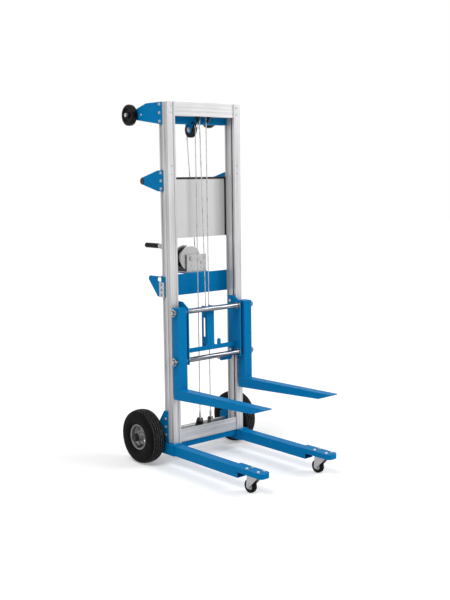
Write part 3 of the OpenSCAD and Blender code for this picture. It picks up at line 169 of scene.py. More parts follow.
def finish_with(name, look):
    """A material whose Principled shader gets what look(finish) returns, by socket name."""
    material = bpy.data.materials.new(name)
    material.use_nodes = True
    finish = Finish(material.node_tree)
    shader = material.node_tree.nodes["Principled BSDF"]
    for socket, value in look(finish).items():
        finish.feed(shader.inputs[socket], value)
    return material


def grey(level, tint=(0, 0, 0)):
    return (level + tint[0], level + tint[1], level + tint[2], 1)


# Finishes

def powder_coat(f):
    """Blue paint baked on steel: orange peel, edges lightened where the paint is thin and as painted
    highlight, lighter scuffs that are partly painted sheen, and a few chips down to the metal.
    """
    at = f.place()
    drift = f.grain(at, 6, 3)
    peel = f.grain(at, 900)
    ragged = f.grain(at, 240, 5)
    rub = f.grain(at, 45, 6)
    edge = f.edges(1.6 * MM)
    paint = f.mix(drift, (0.0, 0.154, 0.384, 1), (0.0, 0.180, 0.424, 1))
    # Lighter edges: thin paint, and a painted highlight along them
    paint = f.mix(edge * 0.45, paint, (0.05, 0.29, 0.58, 1))
    chip = f.spread(edge * ragged, 0.60, 0.66)
    scuff_and_sheen = f.spread(rub, 0.66, 0.74)
    # Lighter patches: partly real scuffs, partly painted sheen
    paint = f.mix(scuff_and_sheen * 0.16, paint, (0.14, 0.34, 0.58, 1))
    return {
        "Base Color": f.mix(chip, paint, grey(0.30)),
        "Roughness": f.spread(rub, 0.3, 0.7, 0.36, 0.46) + scuff_and_sheen * 0.12,
        "Metallic": chip * 0.7,
        "Coat Weight": f.spread(drift, 0.3, 0.7, 0.0, 0.02),
        "Normal": f.bump(peel + ragged * 0.3, 0.12, 0.4 * MM),
        "Specular IOR Level": 0.03,
    }


def extruded_alloy(along, dull=0.0):
    """Mill-finish aluminium with die lines along the extrusion and a drifting grey film that dull thickens;
    the thickened film makes a darker copy of the alloy as painted shade.
    """
    stretch = tuple(0.012 if axis == along else 1.0 for axis in "xyz")

    def look(f):
        at = f.place(stretch)
        lines = f.grain(at, 900, 4)
        bands = f.grain(at, 110, 3)
        spots = f.grain(f.place(), 60, 5)
        # Grey film; with dull above 0 it also paints shade, as a darker copy of the alloy
        film_and_shade = f.spread(f.grain(f.place((1, 1, 0.6)), 4.5, 2), 0.36, 0.64, dull, dull + 0.34)
        streaks = f.spread(lines * 0.4 + bands * 0.6, 0.36, 0.64)
        metal = f.mix(streaks, grey(0.45, (0.006, 0, 0.008)), grey(0.70, (0.006, 0, 0.006)))
        return {
            "Base Color": f.mix(film_and_shade, metal, grey(0.36, (0.004, 0, 0.006))),
            "Roughness": f.spread(lines, 0.3, 0.7, 0.34, 0.46) + f.spread(spots, 0.62, 0.72, 0, 0.12),
            "Metallic": f.spread(spots, 0.35, 0.65, 0.24, 0.34),
            "Normal": f.bump(lines, 0.25, 0.25 * MM),
        }

    return look


def panel_sheet(f):
    """Grey sheet aluminium with fine upright ribs and soft marks."""
    at = f.place((1, 1, 0.008))
    ribs = f.grain(at, 420, 3)
    broad = f.grain(at, 24, 2)
    marks = f.grain(f.place(), 18, 5)
    warm = (0.004, 0, 0)
    return {
        "Base Color": f.mix(broad * 0.6 + ribs * 0.4, grey(0.44, warm), grey(0.66, warm)),
        "Roughness": f.spread(marks, 0.3, 0.7, 0.34, 0.48),
        "Metallic": f.spread(ribs, 0.3, 0.7, 0.22, 0.32),
        "Normal": f.bump(ribs, 0.35, 0.5 * MM),
    }


def zinc_plate(f):
    """Bright zinc on steel, with soft clouds, pressing marks and brighter edges."""
    at = f.place()
    cloud = f.grain(at, 70, 4)
    fine = f.grain(at, 800, 3)
    edge = f.edges(1.0 * MM)
    plate = f.mix(cloud, grey(0.34, (0, 0.002, 0.004)), grey(0.56, (0.004, 0.003, -0.004)))
    return {
        "Base Color": f.mix(edge * 0.3, plate, grey(0.72)),
        "Roughness": f.spread(cloud, 0.3, 0.7, 0.26, 0.42),
        "Metallic": f.spread(cloud, 0.2, 0.8, 0.66, 0.54),
        "Normal": f.bump(fine + cloud, 0.10, 0.4 * MM),
    }


def turned_steel(f):
    """Drum flanges off the lathe: fine rings about the drum's axis under dull zinc, with the rims brightened
    as painted highlight.
    """
    from_axis = f.vectors("MULTIPLY", f.vectors("SUBTRACT", f.place(), DRUM), (1, 0, 1))
    radius = f.vectors("LENGTH", from_axis, out="Value")
    rings = f.grain(radius, 260, 4)
    cloud = f.grain(f.place(), 45, 4)
    edge = f.edges(1.2 * MM)
    steel = f.mix(rings * 0.7 + cloud * 0.3, grey(0.22), grey(0.64))
    return {
        # Brighter rims: painted highlight
        "Base Color": f.mix(edge * 0.6, steel, grey(0.66)),
        "Roughness": f.spread(rings, 0.3, 0.7, 0.26, 0.44),
        "Metallic": f.spread(cloud, 0.3, 0.7, 0.72, 0.58),
        "Normal": f.bump(rings, 0.25, 0.4 * MM),
    }


def rim_lacquer(f):
    """Grey lacquer on pressed rims, with clouds of dust and rubbed lips."""
    at = f.place()
    cloud = f.grain(at, 50, 4)
    fine = f.grain(at, 700, 3)
    edge = f.edges(1.4 * MM)
    coat = f.mix(cloud, grey(0.15), grey(0.25, (0, 0, 0.004)))
    return {
        "Base Color": f.mix(edge * 0.8, coat, grey(0.52)),
        "Roughness": f.spread(cloud, 0.3, 0.7, 0.32, 0.48),
        "Metallic": f.spread(fine, 0.3, 0.7, 0.30, 0.42),
        "Normal": f.bump(fine, 0.10, 0.3 * MM),
    }


def chrome_plate(f):
    """Chromed bar with drawing streaks along it, dark and bright far past real drawing marks as painted
    reflection bands, hairline scratches round it and cloudy handling marks.
    """
    hair = f.grain(f.place((1, 0.05, 0.05)), 1500, 3)
    rub = f.grain(f.place(), 40, 5)
    along = f.grain(f.place((0.08, 1, 1)), 160, 3)
    # Streaks along the bar: drawing grain, darkened into painted reflection bands
    streaks = f.spread(along, 0.32, 0.68)
    plate = f.mix(streaks, grey(0.06, (0, 0.010, 0.030)), grey(0.30, (0, 0.010, 0.032)))
    return {
        "Base Color": f.mix(f.spread(rub, 0.4, 0.7) * 0.25, plate, grey(0.24, (0, 0.006, 0.018))),
        "Roughness": f.spread(rub, 0.35, 0.75, 0.12, 0.22),
        "Metallic": f.spread(rub, 0.2, 0.8, 0.96, 0.88),
        "Normal": f.bump(hair, 0.06, 0.2 * MM),
    }


def rope_wire(f):
    """Galvanised strand with grease in the lay."""
    at = f.place()
    wires = f.grain(at, 1800, 2)
    grease = f.grain(at, 35, 4)
    edge = f.edges(0.8 * MM)
    wire = f.mix(wires, grey(0.34), grey(0.62))
    return {
        "Base Color": f.mix(f.spread(grease, 0.5, 0.75) * (1 - edge), wire, grey(0.16)),
        "Roughness": f.spread(wires, 0.3, 0.7, 0.32, 0.5),
        "Metallic": f.spread(grease, 0.4, 0.8, 0.85, 0.65),
        "Normal": f.bump(wires, 0.3, 0.3 * MM),
    }


def tyre_rubber(f):
    """Black rubber with a dull bloom and floor dust where it is rough, and its edges lightened as painted
    highlight.
    """
    at = f.place()
    pores = f.grain(at, 1300, 3)
    bloom = f.grain(at, 28, 5)
    dust = f.spread(bloom, 0.52, 0.78) * 0.30
    black = f.mix(dust, grey(0.004), grey(0.022, (0.002, 0.001, -0.002)))
    return {
        # Lighter grey along the ribs and edges: painted highlight
        "Base Color": f.mix(f.edges(2.2 * MM) * 0.8, black, grey(0.22)),
        "Roughness": f.spread(bloom, 0.3, 0.7, 0.52, 0.70),
        "Normal": f.bump(pores + bloom, 0.20, 0.5 * MM),
        "Specular IOR Level": 0.06,
    }


def gloss_plastic(f):
    """Hard moulded black plastic, glossy with light handling marks."""
    at = f.place()
    flow = f.grain(at, 55, 4)
    fine = f.grain(at, 1400, 2)
    return {
        "Base Color": f.mix(flow, grey(0.003), grey(0.008, (0, 0, 0.001))),
        "Roughness": f.spread(flow, 0.3, 0.7, 0.14, 0.26),
        "Normal": f.bump(fine, 0.05, 0.3 * MM),
        "Specular IOR Level": 0.10,
    }


def dull_plastic(f):
    """Black rubbery plastic of the edge strip, bushes, pads, hub caps and seals; the edge strip is a black
    strip put where the panel's rolled edge throws shade, as painted shade.
    """
    at = f.place()
    leather = f.grain(at, 900, 4)
    wear = f.grain(at, 60, 4)
    return {
        "Base Color": f.mix(wear, grey(0.006), grey(0.018)),
        "Roughness": f.spread(wear, 0.3, 0.7, 0.45, 0.62),
        "Normal": f.bump(leather, 0.15, 0.4 * MM),
        "Specular IOR Level": 0.25,
    }


def black_iron(f):
    """Black-painted steel with bright rubbed edges."""
    at = f.place()
    cloud = f.grain(at, 90, 4)
    edge = f.edges(1.2 * MM)
    ragged = f.grain(at, 300, 4)
    bare = f.spread(edge * ragged, 0.34, 0.52)
    return {
        "Base Color": f.mix(bare, f.mix(cloud, grey(0.012), grey(0.035)), grey(0.55)),
        "Roughness": f.spread(cloud, 0.3, 0.7, 0.36, 0.52),
        "Metallic": bare * 0.85,
        "Normal": f.bump(ragged, 0.12, 0.3 * MM),
    }


FINISHES = {
    "blue_paint": finish_with("blue_powder_coat", powder_coat),
    "column_alloy": finish_with("column_alloy", extruded_alloy("z")),
    # The fixed columns get a darker copy of the column alloy: painted shade
    "shaded_column_alloy": finish_with("shaded_column_alloy", extruded_alloy("z", 0.28)),
    "beam_alloy": finish_with("beam_alloy", extruded_alloy("x")),
    "panel_sheet": finish_with("panel_sheet", panel_sheet),
    "zinc": finish_with("zinc_plate", zinc_plate),
    "turned_steel": finish_with("turned_steel", turned_steel),
    "rim_lacquer": finish_with("rim_lacquer", rim_lacquer),
    "chrome": finish_with("chrome_plate", chrome_plate),
    "rope": finish_with("rope_wire", rope_wire),
    "rubber": finish_with("tyre_rubber", tyre_rubber),
    "gloss_plastic": finish_with("gloss_plastic", gloss_plastic),
    "dull_plastic": finish_with("dull_plastic", dull_plastic),
    "black_iron": finish_with("black_iron", black_iron),
}

NODE_FINISH = {
    "blue_paint": ["base_frame", "legs", "caster_mounts", "foot_plates", "top_crossmember",
                   "sheave_clevis", "top_brackets", "handle_brackets", "winch_bracket", "carriage_frame",
                   "fork_near", "fork_far", "latch_lever"],
    "column_alloy": ["moving_columns"],
    "shaded_column_alloy": ["fixed_columns"],
    "beam_alloy": ["top_beam", "bottom_channel"],
    "panel_sheet": ["panel"],
    "zinc": ["caster_plates", "axle", "load_wheel_bolts", "lock_strap", "winch_frame", "drum_shaft",
             "crank_shaft", "crank_arm", "roller_studs", "mast_sheave_pin", "caster_fork_near",
             "caster_fork_far", "upper_rollers", "lower_rollers", "frame_bolts", "rod_pins"],
    "rim_lacquer": ["rim_near", "rim_far"],
    "chrome": ["fork_rods", "push_handle"],
    "rope": ["winch_rope", "lift_rope", "carriage_rope_rise", "carriage_rope_bend", "carriage_rope_fall",
             "rope_winding"],
    "rubber": ["tyre_near", "tyre_far", "grip", "caster_wheel_near", "caster_wheel_far"],
    "gloss_plastic": ["load_wheel_near", "load_wheel_far", "winch_sheave", "mast_sheave"],
    "dull_plastic": ["fixed_pads", "moving_pads", "panel_trim"],
    "black_iron": ["beam_lugs", "base_rope_lug", "mast_rope_lug", "drum"],
}

# Edge rounding, in millimetres, of the pieces that stay as packed
ROUNDED = {
    "base_frame": 2.0, "legs": 1.4, "caster_mounts": 1.6, "foot_plates": 1.0, "top_crossmember": 0.6,
    "top_brackets": 0.9, "handle_brackets": 0.9, "winch_bracket": 0.8, "carriage_frame": 0.8,
    "fork_near": 2.2, "fork_far": 2.2, "fixed_columns": 0.7, "moving_columns": 0.7, "top_beam": 0.9,
    "bottom_channel": 0.8, "winch_frame": 0.7, "lock_strap": 0.8, "crank_arm": 0.8, "caster_plates": 0.6,
    "caster_fork_near": 0.7, "caster_fork_far": 0.7, "latch_lever": 0.7, "sheave_clevis": 0.8,
    "beam_lugs": 0.7, "base_rope_lug": 0.7, "mast_rope_lug": 0.7, "axle": 0.8, "load_wheel_bolts": 0.8,
    "fork_rods": 0.8, "push_handle": 0.5,
}
JOIN_WITHIN = 0.01 * MM
FLAT_WITHIN = math.radians(0.5)
ROUND_OVER = math.radians(40)


def dress_nodes():
    """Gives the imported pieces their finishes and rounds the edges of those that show."""
    for finish, names in NODE_FINISH.items():
        for name in names:
            slots = nodes[name].data.materials
            slots.clear()
            slots.append(FINISHES[finish])
    for name, width in ROUNDED.items():
        weld = nodes[name].modifiers.new("joined", "WELD")
        weld.merge_threshold = JOIN_WITHIN
        flat = nodes[name].modifiers.new("flat_faces", "DECIMATE")
        flat.decimate_type = "DISSOLVE"
        flat.angle_limit = FLAT_WITHIN
        bevel = nodes[name].modifiers.new("rounded", "BEVEL")
        bevel.width = width * MM
        bevel.segments = 2
        bevel.limit_method = "ANGLE"
        bevel.angle_limit = ROUND_OVER
        bevel.harden_normals = True


# Mesh building
SAME_POINT = 0.005 * MM
ON_AXIS = 1e-7


def add_piece(name, mesh, finish, body, replaces=(), smooth=40):
    """Makes a piece of a mesh under construction, in its finish, on its body."""
    bmesh.ops.remove_doubles(mesh, verts=mesh.verts, dist=SAME_POINT)
    bmesh.ops.recalc_face_normals(mesh, faces=mesh.faces)
    data = bpy.data.meshes.new(name)
    mesh.to_mesh(data)
    mesh.free()
    data.shade_smooth()
    data.set_sharp_from_angle(angle=math.radians(smooth))
    data.materials.append(FINISHES[finish])
    piece = bpy.data.objects.new(name, data)
    bpy.context.scene.collection.objects.link(piece)
    if replaces:
        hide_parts(*replaces)
    if body:
        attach(piece, body)
    return piece


def in_mm(points):
    """Points of a profile, path or outline that are written in millimetres."""
    return [(a * MM, b * MM) for a, b in points]


def mirrored(profile):
    """The profile's other half, from its end back to its start."""
    return [(-a, r) for a, r in reversed(profile)]


def turned(mesh, profile, centre, axis, steps, ring=False):
    """Turns a profile of (place along the axis, radius) points about an axis; ring closes the profile."""
    tip = UP.rotation_difference(Vector(axis)).to_matrix()
    rings = []
    for i in range(steps):
        angle = 2 * math.pi * i / steps
        spokes = [Vector((r * math.cos(angle), r * math.sin(angle), h)) for h, r in profile]
        rings.append([mesh.verts.new(Vector(centre) + tip @ spoke) for spoke in spokes])
    last = len(profile) if ring else len(profile) - 1
    for i in range(steps):
        here, there = rings[i], rings[(i + 1) % steps]
        for k in range(last):
            n = (k + 1) % len(profile)
            corners = [here[k], there[k], there[n], here[n]]
            if profile[k][1] < ON_AXIS:
                corners.remove(there[k])
            if profile[n][1] < ON_AXIS:
                corners.remove(there[n])
            mesh.faces.new(corners)


def hexagon_head(mesh, place, axis, width, height):
    """A bolt head with a washer, standing on a face."""
    washer, washer_r = 0.16 * width, 0.72 * width
    corner = width / math.sqrt(3)
    washer_line = [(0, 0), (0, washer_r), (0.8 * washer, washer_r), (washer, 0.66 * width), (washer, 0)]
    head_line = [(washer, 0), (washer, corner), (height * 0.82, corner), (height, corner * 0.86), (height, 0)]
    turned(mesh, washer_line, place, axis, steps=32)
    turned(mesh, head_line, place, axis, steps=6)


def domed_head(mesh, place, axis, width, height):
    """A low round head with a socket in it."""
    r = width / 2
    socket = 0.42 * r
    line = [(0, 0), (0, r), (0.35 * height, r), (0.75 * height, 0.82 * r), (height, 0.5 * r),
            (height, socket), (0.4 * height, socket), (0.4 * height, 0)]
    turned(mesh, line, place, axis, steps=24)


def soft_block(mesh, low, high, rounding):
    """A box with rounded edges."""
    made = bmesh.ops.create_cube(mesh, size=1)["verts"]
    low, high = Vector(low), Vector(high)
    for v in made:
        v.co = Vector([(low[i] + high[i]) / 2 + v.co[i] * (high[i] - low[i]) for i in range(3)])
    edges = list(dict.fromkeys(e for v in made for e in v.link_edges))
    bmesh.ops.bevel(mesh, geom=edges, offset=rounding, segments=3, profile=0.5, affect="EDGES")


def resample(path, step):
    """Points along a path at about equal steps, and the distance of each from its start."""
    points, runs = [Vector(path[0])], [0.0]
    for a, b in zip(path, path[1:]):
        a, b = Vector(a), Vector(b)
        count = max(1, round((b - a).length / step))
        for i in range(1, count + 1):
            points.append(a.lerp(b, i / count))
            runs.append(runs[-1] + (b - a).length / count)
    return points, runs


def swept(mesh, points, ring_at, closed=False):
    """Sweeps rings along points; ring_at(i) gives (angle, radius) pairs."""
    count = len(points)
    side = None
    rings = []
    for i, at in enumerate(points):
        ahead = points[(i + 1) % count] if closed else points[min(i + 1, count - 1)]
        behind = points[i - 1] if closed or i else points[0]
        along = (ahead - behind).normalized()
        if side is None:
            side = along.orthogonal().normalized()
        side = (side - along * side.dot(along)).normalized()
        other = along.cross(side)
        spokes = [(side * math.cos(a) + other * math.sin(a)) * r for a, r in ring_at(i)]
        rings.append([mesh.verts.new(at + spoke) for spoke in spokes])
    for i in range(count if closed else count - 1):
        here, there = rings[i], rings[(i + 1) % count]
        for k in range(len(here)):
            n = (k + 1) % len(here)
            mesh.faces.new([here[k], here[n], there[n], there[k]])
    if not closed:
        mesh.faces.new(rings[0][::-1])
        mesh.faces.new(rings[-1])


STRANDS = 6
ROPE_R = 2.5 * MM
ROPE_LAY = 32 * MM
ROPE_STEP = 2.6 * MM
LAY_DEPTH = 0.80
WIRE_SIDES = 10
BEAD_SIDES = 8
BEAD_STEP, BEAD_RIPPLE, BEAD_SWELL = 0.6 * MM, 2.2 * MM, 0.12


def laid_rope(mesh, path):
    """A six-strand rope: twelve points round, every second one down in the lay between two strands."""
    points, runs = resample(path, ROPE_STEP)

    def ring_at(i):
        twist = 2 * math.pi * runs[i] / ROPE_LAY
        return [(twist + math.pi * k / STRANDS, ROPE_R * (1.0 if k % 2 else LAY_DEPTH))
                for k in range(2 * STRANDS)]

    swept(mesh, points, ring_at)


def round_wire(mesh, points, radius, closed=False):
    ring = [(2 * math.pi * k / WIRE_SIDES, radius) for k in range(WIRE_SIDES)]
    swept(mesh, points, lambda i: ring, closed)


def weld_bead(mesh, start, end, radius):
    """A rippled bead along a joint."""
    points, runs = resample([start, end], BEAD_STEP)

    def ring_at(i):
        swell = 1 + BEAD_SWELL * math.sin(2 * math.pi * runs[i] / BEAD_RIPPLE)
        return [(2 * math.pi * k / BEAD_SIDES, radius * swell) for k in range(BEAD_SIDES)]

    swept(mesh, points, ring_at)


def circle_points(centre, across, above, radius, count, start=0.0, sweep=2 * math.pi):
    """Points on an arc of count steps, both ends included."""
    angles = [start + sweep * i / count for i in range(count + 1)]
    return [Vector(centre) + (across * math.cos(a) + above * math.sin(a)) * radius for a in angles]


# Ropes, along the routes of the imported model; profiles are in millimetres
LUG_Z = 189.5 * MM
EYE_R, EYE_WIRE = 7.4 * MM, 2.3 * MM
EYE_START, EYE_SWEEP = math.radians(55), math.radians(-290)
EYE_NECK, EYE_CLEAR = 2 * MM, 5 * MM
SLEEVE_LOW, SLEEVE_HIGH, SLEEVE_GRIP = 14 * MM, 40 * MM, 4 * MM
SLEEVE_LINE = [(12, 0), (12, 3.5), (14, 5), (38, 5), (40, 3.75), (40, 0)]
WINCH_SHEAVE = Vector((-31, 68, 1607)) * MM
WINCH_SHEAVE_R = 34 * MM
MAST_SHEAVE = Vector((10, 27, 1690)) * MM
MAST_SHEAVE_R = 20 * MM
BEND_STEPS = 24
ANCHOR = Vector((-2, 12, 745)) * MM
FERRULE_LINE = [(-15, 0), (-15, 4), (-13.5, 5), (-1.5, 5), (-0.3, 4), (-0.3, 0)]
FALL_IN, FALL_OUT, FALL_STRAIGHT = 10 * MM, 20 * MM, 34 * MM
WIND_R = 36 * MM
WIND_TURNS, WIND_STEPS = 7, 24
WIND_PITCH = 5.6 * MM
WIND_START = 143 * MM
WIND_TAIL, TAIL_STEPS = 21 * MM, 3
WIND_ENTRY = [(6.2, -3.5), (3.7, -3.5), (1.2, -3.5), (0.5, -1.8)]
ROPE_CLEAR = 0.3 * MM


def rope_with_eye(x, y, top):
    """A rope that rises from an eye on a lug bolt, with a pressed sleeve above the eye."""
    mesh = bmesh.new()
    bolt = Vector((x, y, LUG_Z))
    neck = bolt + UP * SLEEVE_LOW
    loop = circle_points(bolt, BACK, UP, EYE_R, 20, EYE_START, EYE_SWEEP)
    round_wire(mesh, [neck + BACK * EYE_NECK] + loop + [neck - BACK * EYE_NECK], EYE_WIRE)
    turned(mesh, in_mm(SLEEVE_LINE), bolt, UP, steps=20)
    laid_rope(mesh, [bolt + UP * (SLEEVE_HIGH - SLEEVE_GRIP), Vector((x, y, top))])
    return mesh


def add_ropes():
    """Lift and carriage ropes, the winding and the rope of the winch."""
    lift_y = WINCH_SHEAVE.y - WINCH_SHEAVE_R
    lift = add_piece("lift_rope_strand", rope_with_eye(WINCH_SHEAVE.x, lift_y, WINCH_SHEAVE.z - ROPE_CLEAR),
                     "rope", None, ["lift_rope"])
    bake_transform(lift)
    rise_x = MAST_SHEAVE.x + MAST_SHEAVE_R
    rise_mesh = rope_with_eye(rise_x, MAST_SHEAVE.y, MAST_SHEAVE.z - ROPE_CLEAR)
    rise = add_piece("carriage_rope_rise_strand", rise_mesh, "rope", None, ["carriage_rope_rise"])
    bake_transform(rise)

    bend = bmesh.new()
    laid_rope(bend, circle_points(MAST_SHEAVE, ACROSS, UP, MAST_SHEAVE_R, BEND_STEPS, 0, math.pi))
    add_piece("carriage_rope_bend_strand", bend, "rope", "mast", ["carriage_rope_bend"])

    fall = bmesh.new()
    fall_top = Vector((MAST_SHEAVE.x - MAST_SHEAVE_R, MAST_SHEAVE.y, MAST_SHEAVE.z - ROPE_CLEAR))
    fall_straight = fall_top - UP * FALL_STRAIGHT
    laid_rope(fall, [ANCHOR - UP * FALL_IN, ANCHOR + UP * FALL_OUT, fall_straight, fall_top])
    turned(fall, in_mm(FERRULE_LINE), ANCHOR, UP, steps=20)
    fall_piece = add_piece("carriage_rope_fall_strand", fall, "rope", None, ["carriage_rope_fall"])
    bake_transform(fall_piece)

    wind = bmesh.new()
    turns = []
    for i in range(WIND_TURNS * WIND_STEPS + 1):
        angle = 2 * math.pi * i / WIND_STEPS
        along = WIND_START - WIND_PITCH * i / WIND_STEPS
        turns.append(DRUM + Vector((WIND_R * math.cos(angle), along, WIND_R * math.sin(angle))))
    enter = [turns[0] + Vector((0, y, z)) for y, z in in_mm(WIND_ENTRY)]
    leave = [turns[-1] + UP * WIND_TAIL * (k + 1) / TAIL_STEPS for k in range(TAIL_STEPS)]
    laid_rope(wind, enter + turns + leave)
    add_piece("rope_winding_strand", wind, "rope", "winch_drum", ["rope_winding"])

    winch = bmesh.new()
    over = circle_points(WINCH_SHEAVE, BACK, UP, WINCH_SHEAVE_R, BEND_STEPS, 0, math.pi)
    laid_rope(winch, [leave[-1] + UP * ROPE_CLEAR] + over)
    add_piece("winch_rope_strand", winch, "rope", "base", ["winch_rope"])


# Rear wheels; profiles are in millimetres along the axle and out from it
AXLE_Y, AXLE_Z = 151 * MM, 132 * MM
WHEEL_X = 294 * MM
TYRE_R = 132
TREAD_HALF, TREAD_DROP, TREAD_CURVE = 33, 6.5, 2.2
GROOVES = (24, 12, 0, -12, -24)
GROOVE_W, GROOVE_DEPTH = 3.0, 4.0
GROOVE_LINE = ((1, 0), (1 / 2, 0), (1 / 3, 1), (-1 / 3, 1), (-1 / 2, 0), (-1, 0))
TYRE_WALL = [(38, 120.5), (41.4, 112), (43, 98), (42.4, 86), (39.5, 74), (35, 66.5), (30.5, 63.5)]
WALL_RING = [(42.6, 88.5), (43.2, 87.2), (42.9, 85.6)]
WALL_RING_TOP, WALL_RING_FOOT = 89, 85
TYRE_BEAD = [(28.5, 61), (28, 58.6)]
RIM_LIP = [(26, 58), (29, 58.8), (30.4, 62), (32, 62.6), (33, 61.4), (32.2, 57.4), (30, 54.8)]
RIM_SEAT = [(-20, 57.5), (20, 57.5)]
RIM_WELL = [(14, 54), (8, 48), (-8, 48), (-14, 54)]
DISC_LINE = [(4, 50), (10, 46), (13, 42), (14.5, 38), (15, 33), (15, 28), (14, 24), (17, 21.5), (24, 20.2)]
DISC_T = 2.4 * MM
DISC_STEPS = 60
DISC_SLOTS = 5
DISC_SLOT_ROWS = (3, 4)
HUB_LINE = [(-38, 9.56), (-38, 17), (-37, 18), (36.5, 18), (38, 17), (38, 15.2), (36, 15.2), (36, 9.56)]
SEAL_LINE = [(35.9, 10.2), (36.8, 10.4), (36.9, 14.8), (35.9, 15.1)]
VALVE_LINE = [(0, 0), (0, 4), (10, 3.4), (16, 2.6), (24, 2.6), (25, 2), (25, 0)]
VALVE_DOWN, VALVE_OUT, VALVE_LEAN = 44 * MM, 10 * MM, 0.25
HUB_CAP_LINE = [(57, 0), (57, 17.6), (38.3, 17.6), (38.3, 19.2), (55.5, 19), (57.8, 17.6), (58.6, 14),
                (58.6, 0)]


def smooth_line(points, steps):
    """Points on a curve through the given ones."""
    line = []
    for i in range(len(points) - 1):
        before, here = points[max(i - 1, 0)], points[i]
        there, after = points[i + 1], points[min(i + 2, len(points) - 1)]
        for s in range(steps):
            t = s / steps
            line.append(tuple(
                0.5 * (2 * here[c] + (there[c] - before[c]) * t
                       + (2 * before[c] - 5 * here[c] + 4 * there[c] - after[c]) * t * t
                       + (3 * here[c] - before[c] - 3 * there[c] + after[c]) * t * t * t) for c in (0, 1)))
    line.append(tuple(points[-1]))
    return line


def tyre_profile():
    """Grooved tread, walls with a raised ring, and the beads on the rim."""
    def crown(a):
        return TYRE_R - TREAD_DROP * abs(a / TREAD_HALF) ** TREAD_CURVE

    shoulder = (TREAD_HALF, crown(TREAD_HALF))
    tread = [shoulder]
    for groove in GROOVES:
        for share, depth in GROOVE_LINE:
            a = groove + share * GROOVE_W
            tread.append((a, crown(a) - depth * GROOVE_DEPTH))
    tread += mirrored([shoulder])
    wall = smooth_line([shoulder] + TYRE_WALL, 4)[1:]
    above_ring = [p for p in wall if p[1] > WALL_RING_TOP]
    below_ring = [p for p in wall if p[1] < WALL_RING_FOOT]
    outer = above_ring + WALL_RING + below_ring + TYRE_BEAD
    return in_mm(mirrored(outer) + tread[::-1] + outer)


def rim_barrel():
    """Rolled rim with a lip at each side, outside and inside."""
    return in_mm(mirrored(RIM_LIP)[:-1] + RIM_SEAT + RIM_LIP + RIM_WELL)


def rim_disc(mesh, centre, outwards):
    """Dished sheet between rim and hub with slots round the hub, closed on both faces."""
    turn = UP.rotation_difference(outwards).to_matrix()
    line = in_mm(DISC_LINE)

    def at(row, step, back):
        a, r = line[row]
        angle = 2 * math.pi * step / DISC_STEPS
        return centre + turn @ Vector((r * math.cos(angle), r * math.sin(angle), a - back * DISC_T))

    grid = [[[mesh.verts.new(at(row, step, back)) for step in range(DISC_STEPS)] for row in range(len(line))]
            for back in (0, 1)]
    per_slot = DISC_STEPS // DISC_SLOTS

    def solid(row, step):
        if not 0 <= row < len(line) - 1:
            return False
        return row not in DISC_SLOT_ROWS or step % per_slot >= per_slot // 2

    for row in range(len(line) - 1):
        for step in range(DISC_STEPS):
            if not solid(row, step):
                continue
            n = (step + 1) % DISC_STEPS
            for face in grid:
                mesh.faces.new([face[row][step], face[row][n], face[row + 1][n], face[row + 1][step]])
            walls = ((row - 1, step, (row, step), (row, n)), (row + 1, step, (row + 1, step), (row + 1, n)),
                     (row, step - 1, (row, step), (row + 1, step)), (row, n, (row, n), (row + 1, n)))
            for next_row, next_step, (r0, s0), (r1, s1) in walls:
                if not solid(next_row, next_step % DISC_STEPS):
                    mesh.faces.new([grid[0][r0][s0], grid[0][r1][s1], grid[1][r1][s1], grid[1][r0][s0]])


def add_rear_wheels():
    for side, sign in SIDES.items():
        centre = Vector((sign * WHEEL_X, AXLE_Y, AXLE_Z))
        out = ACROSS * sign
        body = "wheel_" + side
        tyre = bmesh.new()
        turned(tyre, tyre_profile(), centre, out, steps=144, ring=True)
        add_piece("ribbed_tyre_" + side, tyre, "rubber", body, ["tyre_" + side], smooth=50)
        rim = bmesh.new()
        turned(rim, rim_barrel(), centre, out, steps=96, ring=True)
        rim_disc(rim, centre, out)
        turned(rim, in_mm(HUB_LINE), centre, out, steps=48, ring=True)
        add_piece("dished_rim_" + side, rim, "rim_lacquer", body, ["rim_" + side])
        seal = bmesh.new()
        turned(seal, in_mm(SEAL_LINE), centre, out, steps=48, ring=True)
        valve_place = centre - UP * VALVE_DOWN + out * VALVE_OUT
        turned(seal, in_mm(VALVE_LINE), valve_place, (out - UP * VALVE_LEAN).normalized(), steps=16)
        add_piece("hub_seal_and_valve_" + side, seal, "dull_plastic", body)
        cap = bmesh.new()
        turned(cap, in_mm(HUB_CAP_LINE), centre, out, steps=48)
        add_piece("hub_cap_" + side, cap, "dull_plastic", body)


# Small wheels; profiles are in millimetres along the axle and out from it
CASTER_FACE = [(0, 31), (8, 30.8), (10.8, 29.2), (12, 26), (12, 21)]
CASTER_SEAT = [(10, 19), (-10, 19)]
CASTER_HUB = [(13.4, 5.06), (13.4, 9), (8, 10), (6, 19), (9.6, 21)]
LOADING_DISH = [(15, 6.06), (15, 13), (14, 14), (6.5, 16), (6, 30), (8, 32.5), (13.5, 33.4)]
LOADING_FACE = [(15, 34), (15, 41), (13.5, 46), (9.5, 50), (0, 51)]


